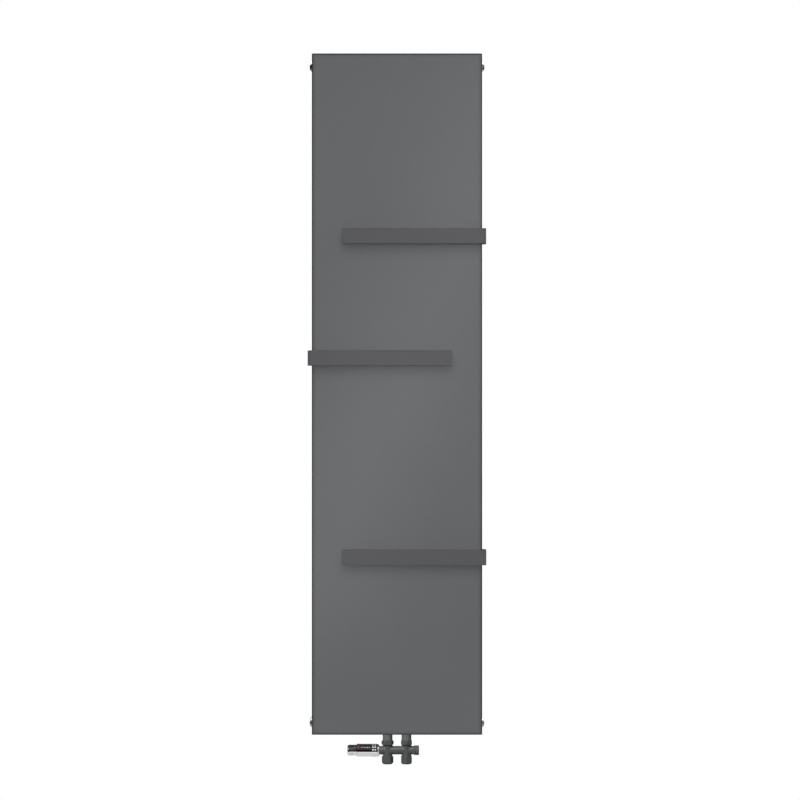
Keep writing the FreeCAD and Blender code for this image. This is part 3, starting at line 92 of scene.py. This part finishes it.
# ------------------------------------------------------------------ print on the head
PRINT_CUT = 0.0004              # spacing of the cuts that let a flat mark bend round
PRINT_CUTS = 14                 # on each side of its middle
PRINT_SINK = 0.00003
PRINT_RISE = 0.00007
NUMERAL_SIZE = 0.0048
NUMERAL_X = SLEEVE_LOW.x - 0.0046
NUMERAL_COUNT = 6
NUMERAL_STEP = 60               # degrees from one numeral to the next
NUMERAL_CURVE_STEPS = 4
SAME_POINT = 1e-7
INDEX_TURN = 38                 # where the numeral in force stands, in degrees up from the front
REST_NUMERAL = 3
DOT = 0.0009
BAR_CORNERS = 16
TICK_COUNT = 6
TICK_TURN = 33
TICK_WIDTH = 0.0011
FIRST_TICK_HEIGHT = 0.0018
TICK_GROWTH = 0.0006
FIRST_TICK_X = SLEEVE_LOW.x + 0.0120
TICK_STEP = 0.0042


# ------------------------------------------------------------------ material building blocks
class Mat:
    """A node material around one Principled shader, in object coordinates."""

    def __init__(self, name):
        self.mat = bpy.data.materials.new(name)
        self.mat.use_nodes = True
        self.tree = self.mat.node_tree
        self.nodes = self.tree.nodes
        self.links = self.tree.links
        self.shader = self.nodes["Principled BSDF"]
        self.coord = self.nodes.new("ShaderNodeTexCoord").outputs["Object"]

    def set(self, **values):
        names = {"color": "Base Color", "rough": "Roughness", "metal": "Metallic", "coat": "Coat Weight",
                 "coat_rough": "Coat Roughness", "spec": "Specular IOR Level"}
        for key, value in values.items():
            self.shader.inputs[names[key]].default_value = (*value, 1) if key == "color" else value
        return self

    def mapped(self, scale):
        node = self.nodes.new("ShaderNodeMapping")
        node.inputs["Scale"].default_value = scale
        self.links.new(self.coord, node.inputs["Vector"])
        return node.outputs["Vector"]

    def noise(self, scale, detail=3.0, rough=0.5, stretch=(1, 1, 1), distortion=0.0):
        node = self.nodes.new("ShaderNodeTexNoise")
        node.inputs["Scale"].default_value = scale
        node.inputs["Detail"].default_value = detail
        node.inputs["Roughness"].default_value = rough
        node.inputs["Distortion"].default_value = distortion
        self.links.new(self.mapped(stretch), node.inputs["Vector"])
        return node.outputs["Fac"]

    def ramp(self, value, stops):
        node = self.nodes.new("ShaderNodeValToRGB")
        while len(node.color_ramp.elements) < len(stops):
            node.color_ramp.elements.new(0.5)
        for element, (place, colour) in zip(node.color_ramp.elements, stops):
            element.position = place
            element.color = (*colour, 1) if hasattr(colour, "__len__") else (colour, colour, colour, 1)
        self.links.new(value, node.inputs["Fac"])
        return node.outputs["Color"]

    def to(self, socket, value):
        self.links.new(value, self.shader.inputs[socket])
        return self

    def math(self, op, a, b):
        node = self.nodes.new("ShaderNodeMath")
        node.operation = op
        for i, v in enumerate((a, b)):
            if isinstance(v, (int, float)):
                node.inputs[i].default_value = v
            else:
                self.links.new(v, node.inputs[i])
        return node.outputs[0]

    def bump(self, *layers):
        """Stacks layers, each with its height pattern, depth in metres and strength."""
        normal = None
        for layer in layers:
            node = self.nodes.new("ShaderNodeBump")
            node.inputs["Strength"].default_value = layer["strength"]
            node.inputs["Distance"].default_value = layer["depth"]
            self.links.new(layer["height"], node.inputs["Height"])
            if normal:
                self.links.new(normal, node.inputs["Normal"])
            normal = node.outputs["Normal"]
        self.links.new(normal, self.shader.inputs["Normal"])
        return self


TONE_SPAN = (0.35, 0.65)        # the part of a noise that a change of tone takes
WIDE_SPAN = (0.3, 0.7)          # the part that a change of roughness or a cloud takes


def tint(base, spread):
    """Two neighbouring tones of one colour for a ramp."""
    low = tuple(max(0.0, c * (1 - spread)) for c in base)
    high = tuple(min(1.0, c * (1 + spread)) for c in base)
    return list(zip(TONE_SPAN, (low, high)))


def varied(low, high):
    """A ramp's stops for a roughness between two values."""
    return list(zip(WIDE_SPAN, (low, high)))


def powder_coat(name, colour, rough=0.42, coat=0.6, coat_rough=0.16):
    """Satin powder coat: fine orange peel, small flecks and a very slow drift of tone."""
    m = Mat(name).set(coat=coat, coat_rough=coat_rough, spec=0.4)
    drift_share, fleck_share, rough_spread = 0.6, 0.4, 0.03
    drift = m.math("MULTIPLY", m.noise(scale=3.0, detail=2), drift_share)
    flecks = m.math("MULTIPLY", m.noise(scale=900, detail=2), fleck_share)
    m.to("Base Color", m.ramp(m.math("ADD", drift, flecks), tint(colour, spread=0.035)))
    m.to("Roughness", m.ramp(m.noise(scale=60), varied(rough - rough_spread, rough + rough_spread)))
    return m.bump(dict(height=m.noise(scale=420, detail=2, rough=0.45), depth=0.00004, strength=0.12),
                  dict(height=m.noise(scale=1700, detail=2), depth=0.00001, strength=0.12))


def darker_folds(m, low, high, side, end):
    """Multiplies a sheet's front colour down towards its folded sides, top and bottom: painted shade along
    the folds, added to the shade that the folds' own rounding takes from the lights.
    """
    split = m.nodes.new("ShaderNodeSeparateXYZ")
    m.links.new(m.coord, split.inputs[0])

    def from_edge(axis, a, b, width):
        off = m.math("ABSOLUTE", m.math("SUBTRACT", split.outputs[axis], (a + b) / 2), 0)
        return m.math("DIVIDE", m.math("SUBTRACT", (b - a) / 2, off), width)

    nearest = m.math("MINIMUM", from_edge("X", low.x, high.x, side), from_edge("Z", low.z, high.z, end))
    behind = m.math("GREATER_THAN", split.outputs["Y"], low.y + FOLD_DEPTH)
    # painted shade along the front's edges, none round the folds and behind
    shade = m.ramp(m.math("MAXIMUM", nearest, behind), FOLD_SHADE)
    mix = m.nodes.new("ShaderNodeMix")
    mix.data_type = "RGBA"
    mix.blend_type = "MULTIPLY"
    mix.inputs["Factor"].default_value = 1.0
    colour = m.shader.inputs["Base Color"].links[0].from_socket
    m.links.new(colour, mix.inputs["A"])
    m.links.new(shade, mix.inputs["B"])
    m.links.new(mix.outputs["Result"], m.shader.inputs["Base Color"])
    return m


def cast_coat(name, colour):
    """Coated cast brass: a little more uneven than the sheet steel."""
    m = Mat(name).set(coat=0.08, coat_rough=0.25, spec=0.25)
    m.to("Base Color", m.ramp(m.noise(scale=260), tint(colour, spread=0.07)))
    m.to("Roughness", m.ramp(m.noise(scale=300), varied(low=0.33, high=0.42)))
    return m.bump(dict(height=m.noise(scale=700), depth=0.00008, strength=0.2),
                  dict(height=m.noise(scale=150, detail=2), depth=0.0002, strength=0.15))


def chrome(name, colour):
    """Polished plating with a trace of wipe marks."""
    m = Mat(name).set(color=colour, metal=1.0)
    wipe = m.noise(scale=35, detail=4, rough=0.6, stretch=(1, 3, 3), distortion=0.4)
    m.to("Roughness", m.ramp(wipe, [(0.35, 0.05), (0.75, 0.12)]))
    return m.bump(dict(height=m.noise(scale=500, detail=2), depth=0.00001, strength=0.06))


def satin_metal(name, colour):
    """Matt-plated brass, softly blasted before plating."""
    m = Mat(name).set(metal=1.0)
    m.to("Base Color", m.ramp(m.noise(scale=140), tint(colour, spread=0.04)))
    m.to("Roughness", m.ramp(m.noise(scale=500), varied(low=0.31, high=0.42)))
    return m.bump(dict(height=m.noise(scale=1800, detail=2), depth=0.00002, strength=0.2))


def turned_metal(name, colour, rough=0.22):
    """Metal turned about X, with fine tool rings."""
    m = Mat(name).set(metal=1.0)
    smoother, rougher = 0.05, 0.08
    rings = m.noise(scale=2600, detail=2, stretch=(1, 0.02, 0.02))
    m.to("Base Color", m.ramp(m.noise(scale=180), tint(colour, spread=0.05)))
    m.to("Roughness", m.ramp(rings, varied(rough - smoother, rough + rougher)))
    return m.bump(dict(height=rings, depth=0.00003, strength=0.15))


def zinc(name, colour):
    """Zinc-plated steel: bright, cloudy, faintly bluish."""
    m = Mat(name).set(metal=1.0)
    darker_share = 0.86
    cloud = m.noise(scale=55, detail=5, rough=0.6, distortion=0.8)
    m.to("Base Color", m.ramp(cloud, list(zip(WIDE_SPAN, (tuple(c * darker_share for c in colour), colour)))))
    m.to("Roughness", m.ramp(m.noise(scale=240, detail=4), varied(low=0.26, high=0.42)))
    return m.bump(dict(height=m.noise(scale=1200), depth=0.00002, strength=0.2))


def plastic(name, colour, rough=0.5):
    """Moulded plastic with a very fine spark-eroded grain."""
    m = Mat(name).set(spec=0.5)
    rough_spread = 0.05
    m.to("Base Color", m.ramp(m.noise(scale=80, detail=2), tint(colour, spread=0.02)))
    grain = m.noise(scale=900, detail=2)
    m.to("Roughness", m.ramp(grain, varied(rough - rough_spread, rough + rough_spread)))
    return m.bump(dict(height=m.noise(scale=2600, detail=2), depth=0.00002, strength=0.15))


def rubber(name, colour):
    """Matte sealing rubber or fibre."""
    m = Mat(name).set(spec=0.3)
    m.to("Base Color", m.ramp(m.noise(scale=400, detail=4), tint(colour, spread=0.15)))
    m.to("Roughness", m.ramp(m.noise(scale=500), varied(low=0.7, high=0.85)))
    return m.bump(dict(height=m.noise(scale=1500), depth=0.00003, strength=0.25))


def enamel(name, colour):
    """Glossy fired enamel."""
    m = Mat(name).set(coat=1.0, coat_rough=0.05, rough=0.3)
    m.to("Base Color", m.ramp(m.noise(scale=300, detail=2), tint(colour, spread=0.05)))
    return m.bump(dict(height=m.noise(scale=300, detail=2), depth=0.00003, strength=0.1))


# the panel's coat, with painted shade darkening it towards its folds
PANEL_COAT_AND_FOLD_SHADE = darker_folds(powder_coat("panel_powder_coat_and_fold_shade", (0.118, 0.121, 0.124)),
                           PANEL_LOW, PANEL_HIGH, SIDE_FOLD, END_FOLD).mat
FRAME_PAINT = powder_coat("frame_powder_coat", (0.110, 0.113, 0.116), rough=0.5, coat=0.2, coat_rough=0.3).mat
PRINT = plastic("print_ink", (0.80, 0.80, 0.78), rough=0.45).mat
SLOT_MATERIAL = {
    "anthracite_powder_coat": FRAME_PAINT,
    "rail_powder_coat": powder_coat("rail_powder_coat", (0.088, 0.088, 0.093), rough=0.44, coat=0.4,
                                    coat_rough=0.2).mat,
    "valve_coating": cast_coat("valve_coat", (0.070, 0.072, 0.073)).mat,
    "polished_chrome": chrome("polished_chrome", (0.78, 0.79, 0.8)).mat,
    "satin_nickel": satin_metal("satin_nickel", (0.86, 0.86, 0.85)).mat,
    "nickel_brass": turned_metal("nickel_brass", (0.72, 0.66, 0.50)).mat,
    "zinc_steel": zinc("zinc_steel", (0.60, 0.61, 0.63)).mat,
    "spring_steel": turned_metal("spring_steel", (0.62, 0.62, 0.64), rough=0.18).mat,
    "capsule_metal": turned_metal("capsule_metal", (0.75, 0.76, 0.77), rough=0.3).mat,
    "hidden_steel": turned_metal("hidden_steel", (0.45, 0.45, 0.46), rough=0.35).mat,
    "black_rubber": rubber("seal_rubber", (0.03, 0.03, 0.032)).mat,
    "seal_fibre": rubber("seal_fibre", (0.16, 0.17, 0.16)).mat,
    "white_plastic": plastic("white_plastic", (0.86, 0.86, 0.84)).mat,
    "red_enamel": enamel("red_enamel", (0.30, 0.045, 0.055)).mat,
    "blue_enamel": enamel("blue_enamel", (0.03, 0.045, 0.16)).mat,
}
OWN_FINISH = {"front_panel": PANEL_COAT_AND_FOLD_SHADE}
SLOT_OF = {row["node"]: row["material_slot"] for row in frame["record"]["subparts"]}
for name, obj in NODES.items():
    paint = OWN_FINISH.get(name) or SLOT_MATERIAL[SLOT_OF[name]]
    obj.data.materials.clear()
    obj.data.materials.append(paint)

# ------------------------------------------------------------------ added detail
ADDED = []


def piece(name, bm, body, paint, smooth=True):
    """Turns a finished bmesh into a piece that rides on a body and wears the finish it is given."""
    mesh = bpy.data.meshes.new(name)
    bmesh.ops.recalc_face_normals(bm, faces=bm.faces)
    bm.to_mesh(mesh)
    bm.free()
    for face in mesh.polygons:
        face.use_smooth = smooth
    mesh.materials.append(paint)
    obj = bpy.data.objects.new(name, mesh)
    bpy.context.scene.collection.objects.link(obj)
    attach(obj, body)
    ADDED.append(obj)


def weld(bm, run, radius, rng, closed=False):
    """Lays one rippled weld bead along a run of points."""
    points = []
    stops = list(zip(run, run[1:] + run[:1])) if closed else list(zip(run, run[1:]))
    for a, b in stops:
        steps = max(2, round((b - a).length / WELD_STEP))
        points += [a.lerp(b, i / steps) for i in range(steps)]
    if not closed:
        points.append(run[-1])
    rings = []
    count = len(points)
    for i, centre in enumerate(points):
        ahead = points[(i + 1) % count] if closed or i < count - 1 else centre
        behind = points[i - 1] if closed or i else centre
        along = (ahead - behind).normalized()
        side = along.orthogonal().normalized()
        up = along.cross(side)
        wave = abs(math.sin(math.pi * i / WELD_RIPPLE_RINGS))
        ripple = 1 - WELD_RIPPLE * wave + rng.uniform(-WELD_SCATTER, WELD_SCATTER)
        if not closed:
            ripple *= min(1.0, WELD_TIP + WELD_TAPER * min(i, count - 1 - i))
        rings.append([bm.verts.new(centre + radius * ripple * (math.cos(t) * side + math.sin(t) * up))
                      for t in (2 * math.pi * k / WELD_SIDES for k in range(WELD_SIDES))])
    pairs = list(zip(rings, rings[1:])) + ([(rings[-1], rings[0])] if closed else [])
    for a, b in pairs:
        for k in range(WELD_SIDES):
            bm.faces.new((a[k], a[(k + 1) % WELD_SIDES], b[(k + 1) % WELD_SIDES], b[k]))
    if not closed:
        bm.faces.new(rings[0])
        bm.faces.new(rings[-1])


def weld_piece(name, bm):
    piece(name, bm, "radiator", FRAME_PAINT)


def header_welds(tubes, rng):
    """Runs across each tube where it meets a header, and rings round the headers' end caps."""
    bm = bmesh.new()
    for header in ("top_header", "bottom_header"):
        low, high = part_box(header)
        z = low.z if header == "top_header" else high.z
        for a, b in tubes:
            run = [Vector((a.x + WELD_INSET, low.y, z)), Vector((b.x - WELD_INSET, low.y, z))]
            weld(bm, run, WELD_RADIUS, rng)
        for x in (low.x + HEADER_CAP, high.x - HEADER_CAP):
            loop = [(low.y, low.z), (low.y, high.z), (high.y, high.z), (high.y, low.z)]
            weld(bm, [Vector((x, y, z)) for y, z in loop], CORNER_WELD_RADIUS, rng, closed=True)
    weld_piece("header_welds", bm)


def cross_bar_welds(tubes, rng):
    """Two short stitches on each tube, above and below each cross bar."""
    bm = bmesh.new()
    for cross_bar in ("upper_cross_bar", "lower_cross_bar"):
        low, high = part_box(cross_bar)
        for a, b in tubes:
            middle = (a.x + b.x) / 2
            for z in (low.z, high.z):
                ends = (middle - STITCH / 2, middle + STITCH / 2)
                weld(bm, [Vector((x, low.y, z)) for x in ends], WELD_RADIUS, rng)
    weld_piece("cross_bar_welds", bm)


def lug_welds(rng):
    """Upright runs where the hanging lugs stand on the cross bars."""
    bm = bmesh.new()
    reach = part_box("hanging_lugs")[1].x
    for cross_bar in ("upper_cross_bar", "lower_cross_bar"):
        low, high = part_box(cross_bar)
        for x in (-reach, reach):
            run = [Vector((x, high.y, low.z + WELD_INSET)), Vector((x, high.y, high.z - WELD_INSET))]
            weld(bm, run, WELD_RADIUS, rng)
    weld_piece("lug_welds", bm)


def socket_welds(rng):
    """A ring round the top of each socket."""
    bm = bmesh.new()
    for name in ("supply_socket", "return_socket"):
        low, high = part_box(name)
        middle, radius = (low + high) / 2, (high.x - low.x) / 2
        ring = [Vector((middle.x + radius * math.cos(t), middle.y + radius * math.sin(t), high.z))
                for t in (2 * math.pi * k / SOCKET_WELD_POINTS for k in range(SOCKET_WELD_POINTS))]
        weld(bm, ring, WELD_RADIUS, rng, closed=True)
    weld_piece("socket_welds", bm)


def wrap_print(name, mark, radius, x, turn, body):
    """Wraps a flat bmesh drawn in XY round the valve axis as a thin raised print, top towards the knob."""
    for k in range(-PRINT_CUTS, PRINT_CUTS + 1):
        at = Vector((k * PRINT_CUT, 0, 0))
        bmesh.ops.bisect_plane(mark, geom=mark.verts[:] + mark.edges[:] + mark.faces[:], plane_co=at,
                               plane_no=Vector((1, 0, 0)))
    made = bmesh.ops.extrude_face_region(mark, geom=mark.faces[:])
    for vert in (v for v in made["geom"] if isinstance(v, bmesh.types.BMVert)):
        vert.co.z = PRINT_SINK + PRINT_RISE
    for vert in mark.verts:
        around = math.radians(turn) + vert.co.x / radius
        out = radius - PRINT_SINK + vert.co.z
        vert.co = Vector((x - vert.co.y, AXIS_Y - out * math.cos(around), AXIS_Z + out * math.sin(around)))
    piece(name, mark, body, PRINT, smooth=False)


def numeral(text):
    """A numeral as a flat bmesh centred on the origin."""
    curve = bpy.data.curves.new("numeral", "FONT")
    curve.body = text
    curve.size = NUMERAL_SIZE
    curve.align_x = "CENTER"
    curve.align_y = "CENTER"
    curve.resolution_u = NUMERAL_CURVE_STEPS
    holder = bpy.data.objects.new("numeral", curve)
    bpy.context.scene.collection.objects.link(holder)
    bpy.context.view_layer.update()
    flat = holder.evaluated_get(bpy.context.evaluated_depsgraph_get()).to_mesh()
    bm = bmesh.new()
    bm.from_mesh(flat)
    bmesh.ops.remove_doubles(bm, verts=bm.verts, dist=SAME_POINT)
    bpy.data.objects.remove(holder)
    bpy.data.curves.remove(curve)
    return bm


def rounded_bar(width, height):
    """A flat bar with round ends as a bmesh centred on the origin."""
    bm = bmesh.new()
    r = min(width, height) / 2
    verts = []
    for k in range(BAR_CORNERS):
        t = 2 * math.pi * (k + 0.5) / BAR_CORNERS
        cx = math.copysign(width / 2 - r, math.cos(t))
        cy = math.copysign(height / 2 - r, math.sin(t))
        verts.append(bm.verts.new((cx + r * math.cos(t), cy + r * math.sin(t), 0)))
    bm.faces.new(verts)
    return bm


def head_print():
    """Numerals and dots round the knob, 0 where the valve is shut, and growing ticks on the sleeve."""
    for number in range(NUMERAL_COUNT):
        turn = INDEX_TURN + NUMERAL_STEP * (REST_NUMERAL - number)
        wrap_print("numeral_%d" % number, numeral(str(number)), KNOB_RADIUS, NUMERAL_X, turn, "setting_knob")
        if number:
            wrap_print("scale_dot_%d" % number, rounded_bar(DOT, DOT), KNOB_RADIUS, NUMERAL_X,
                       turn + NUMERAL_STEP / 2, "setting_knob")
    for number in range(TICK_COUNT):
        tick = rounded_bar(FIRST_TICK_HEIGHT + TICK_GROWTH * number, TICK_WIDTH)
        x = FIRST_TICK_X + TICK_STEP * number
        wrap_print("scale_tick_%d" % number, tick, SLEEVE_RADIUS, x, TICK_TURN, "radiator")


def soft_spring():
    """The spindle's spring again, as a copy of its coil that stands in for the hidden part."""
    coil = bpy.data.objects.new("return_spring_coil", NODES["return_spring"].data.copy())
    bpy.context.scene.collection.objects.link(coil)
    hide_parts("return_spring")
    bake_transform(coil)
    ADDED.append(coil)


head_print()
weld_rng = random.Random(WELD_SEED)
tube_boxes = [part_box(name) for name in sorted(NODES) if name.startswith("water_tube_")]
header_welds(tube_boxes, weld_rng)
cross_bar_welds(tube_boxes, weld_rng)
lug_welds(weld_rng)
socket_welds(weld_rng)
soft_spring()

# ------------------------------------------------------------------ stage
FLOOR_Z = -1.3
FLOOR_RADIUS = 40.0
FLOOR_CORNERS = 96
POOL_SIZE = 4.0                 # metres from the middle that the pool's ramp takes
POOL = [(0.0, 0.79), (0.07, 0.70), (0.13, 0.88), (0.19, 0.88), (0.22, 0.01)]
DOME = [(0.0, 0.002), (0.1, 0.003), (0.22, 0.04), (0.7, 0.055), (0.9, 0.11), (1.0, 0.2)]
AMBIENT = 0.2                   # how strongly the floor and the sky light matte surfaces


def by_ray(tree, seen, diffuse, glossy):
    """Mixes three shaders by what looks at them: the camera, a diffuse surface or a mirror-like one."""
    path = tree.nodes.new("ShaderNodeLightPath")
    inner, outer = tree.nodes.new("ShaderNodeMixShader"), tree.nodes.new("ShaderNodeMixShader")
    tree.links.new(path.outputs["Is Diffuse Ray"], inner.inputs["Fac"])
    tree.links.new(glossy, inner.inputs[1])
    tree.links.new(diffuse, inner.inputs[2])
    tree.links.new(path.outputs["Is Camera Ray"], outer.inputs["Fac"])
    tree.links.new(inner.outputs[0], outer.inputs[1])
    tree.links.new(seen, outer.inputs[2])
    return outer.outputs[0]


def gradient(tree, value, stops):
    """A grey ramp driven by a value."""
    node = tree.nodes.new("ShaderNodeValToRGB")
    while len(node.color_ramp.elements) < len(stops):
        node.color_ramp.elements.new(0.5)
    for element, (place, grey) in zip(node.color_ramp.elements, stops):
        element.position = place
        element.color = (grey, grey, grey, 1)
    tree.links.new(value, node.inputs["Fac"])
    return node.outputs["Color"]


def glow(tree, kind, strength=1.0, colour=None):
    """A plain white source of one kind, or a grey one where a ramp gives its colour."""
    node = tree.nodes.new(kind)
    node.inputs["Color"].default_value = (1, 1, 1, 1)
    node.inputs["Strength"].default_value = strength
    if colour:
        tree.links.new(colour, node.inputs["Color"])
    return node.outputs[0]


def lit_tree(owner, kind, output, source, measure, stops):
    """Makes a floor's or sky's shader: white to the camera, dim to matte surfaces, a ramp to shiny ones."""
    owner.use_nodes = True
    tree = owner.node_tree
    tree.nodes.clear()
    coord = tree.nodes.new("ShaderNodeTexCoord").outputs[source]
    ramp = gradient(tree, measure(tree, coord), stops)
    looks = by_ray(tree, glow(tree, kind), glow(tree, kind, AMBIENT), glow(tree, kind, colour=ramp))
    tree.links.new(looks, tree.nodes.new(output).inputs["Surface"])


def distance(tree, coord):
    """How far a point lies from the middle, as a share of the pool's size."""
    length = tree.nodes.new("ShaderNodeVectorMath")
    length.operation = "LENGTH"
    tree.links.new(coord, length.inputs[0])
    share = tree.nodes.new("ShaderNodeMath")
    share.operation = "DIVIDE"
    share.inputs[1].default_value = POOL_SIZE
    tree.links.new(length.outputs["Value"], share.inputs[0])
    return share.outputs[0]


def height(tree, coord):
    """How high a direction points."""
    split = tree.nodes.new("ShaderNodeSeparateXYZ")
    tree.links.new(coord, split.inputs[0])
    return split.outputs["Z"]


bpy.ops.mesh.primitive_circle_add(vertices=FLOOR_CORNERS, radius=FLOOR_RADIUS, fill_type="NGON",
                                  location=(0, 0, FLOOR_Z))
floor = bpy.context.object
floor.name = "floor"
floor_paint = bpy.data.materials.new("pale_floor")
lit_tree(floor_paint, "ShaderNodeEmission", "ShaderNodeOutputMaterial", "Object", distance, POOL)
floor.data.materials.append(floor_paint)
floor.visible_shadow = False     # the strip light's lower end is below it

world = bpy.data.worlds.new("studio")
bpy.context.scene.world = world
lit_tree(world, "ShaderNodeBackground", "ShaderNodeOutputWorld", "Generated", height, DOME)


def light(name, kind, place, aim=(0, 0, 0), roll=0.0, diffuse=True, glossy=True, only=(), shaded_by=(),
          angle=None, **settings):
    """A studio light aimed at a point, for some objects or all, with its angles in degrees."""
    data = bpy.data.lights.new(name, kind)
    if angle is not None:
        data.angle = math.radians(angle)
    for key, value in settings.items():
        setattr(data, key, value)
    obj = bpy.data.objects.new(name, data)
    bpy.context.scene.collection.objects.link(obj)
    turn = (Vector(place) - Vector(aim)).to_track_quat("Z", "Y").to_matrix().to_4x4()
    obj.matrix_world = Matrix.Translation(place) @ turn @ Matrix.Rotation(math.radians(roll), 4, "Z")
    obj.visible_camera = False
    obj.visible_diffuse = diffuse
    obj.visible_glossy = glossy
    for role, items in (("receiver", only), ("blocker", shaded_by)):
        if items:
            group = bpy.data.collections.new(name + "_" + role)
            for item in items:
                group.objects.link(item)
            setattr(obj.light_linking, role + "_collection", group)


def nodes(*names):
    return [NODES[name] for name in names]


FLAT_FRONTS = nodes("front_panel", "towel_rail_top", "towel_rail_middle", "towel_rail_bottom")
PLUGS = nodes("blind_plugs", "bleed_plug")
HEAD = nodes("head_sleeve", "knob")
DARK_VALVE = nodes("valve_body", "supply_union_nut", "return_union_nut", "supply_pipe_nut", "return_pipe_nut",
                   "supply_socket", "return_socket", "return_cap", "supply_nipple", "return_nipple")
REAR_METAL = nodes("wall_brackets", "hanging_bolts", "hanging_nuts", "rail_screws")
FRAME_PARTS = [obj for obj in NODES.values() if obj not in DARK_VALVE + HEAD] + ADDED
OTHERS = [obj for obj in NODES.values() if obj not in DARK_VALVE] + ADDED

# from the front: a high key, and an even fill along the line of sight
light("key", "SUN", (0.0, -9.0, 3.7), glossy=False, only=OTHERS, energy=1.18, angle=44)
light("fill", "AREA", (0.0, -8.6, 0.0), glossy=False, only=OTHERS, shape="DISK", size=0.5, energy=335)
# on the small parts
light("valve_key", "SUN", (-2.7, -5.8, 6.0), only=DARK_VALVE, shaded_by=DARK_VALVE, energy=4.3, angle=14)
light("nut_top", "SUN", (0.0, -4.0, 6.0), only=nodes("coupling_nut"), energy=1.0, angle=60)
light("plug_top", "SUN", (0.0, -3.0, 6.0), only=PLUGS, energy=2.3, angle=40)
# a slanting strip that the flat fronts mirror
light("strip", "AREA", (-0.08, -9.2, -0.1), aim=(-0.08, 0, -0.1), roll=-23, diffuse=False, only=FLAT_FRONTS,
      shape="RECTANGLE", size=0.55, size_y=4.4, energy=16.5)
# from behind, with the valve's own rear and side light
light("rear_key", "SUN", (-3.0, 6.5, 4.2), only=FRAME_PARTS, energy=2.4, angle=24)
light("rear_fill", "SUN", (5.0, 6.0, 0.5), only=FRAME_PARTS, energy=1.5, angle=50)
light("rear_valve", "SUN", (0.0, 9.0, 2.5), only=DARK_VALVE, glossy=False, energy=2.6, angle=20)
for side, sign in (("left", -1), ("right", 1)):
    light(side + "_valve", "SUN", (8.0 * sign, 6.0, 2.5), only=DARK_VALVE, glossy=False, energy=0.3,
          angle=40)
# gleams on the knob's nose and on the fixings behind
light("knob_edge", "AREA", (-2.9, -2.6, 1.65), aim=(0, 0, AXIS_Z), diffuse=False, only=nodes("knob"),
      shape="RECTANGLE", size=1.6, size_y=3.2, energy=22)
light("rear_strip", "AREA", (-2.2, 6.0, 2.0), diffuse=False, only=REAR_METAL, shape="RECTANGLE", size=5.0,
      size_y=6.0, energy=90)
# from both sides
for side, sign in (("left", -1), ("right", 1)):
    light(side + "_side", "SUN", (8.0 * sign, 1.5, 2.0), only=OTHERS, glossy=False, energy=1.3, angle=50)

# ------------------------------------------------------------------ camera
CAMERA_LENS = 136.3
CAMERA_SENSOR = 36.0
CAMERA_DISTANCE = 8.0           # from the panel's front
CAMERA_RIGHT = 0.0079           # of the panel's middle
CAMERA_DROP = 0.0156            # below it
camera_data = bpy.data.cameras.new("camera")
camera_data.lens = CAMERA_LENS
camera_data.sensor_width = CAMERA_SENSOR
camera = bpy.data.objects.new("camera", camera_data)
middle_z = (PANEL_LOW.z + PANEL_HIGH.z) / 2
camera.location = (CAMERA_RIGHT, PANEL_LOW.y - CAMERA_DISTANCE, middle_z - CAMERA_DROP)
camera.rotation_euler = (math.radians(90), 0, 0)
bpy.context.scene.collection.objects.link(camera)
bpy.context.scene.camera = camera
bpy.context.scene.view_settings.view_transform = "Standard"
bpy.context.scene.view_settings.look = "None"
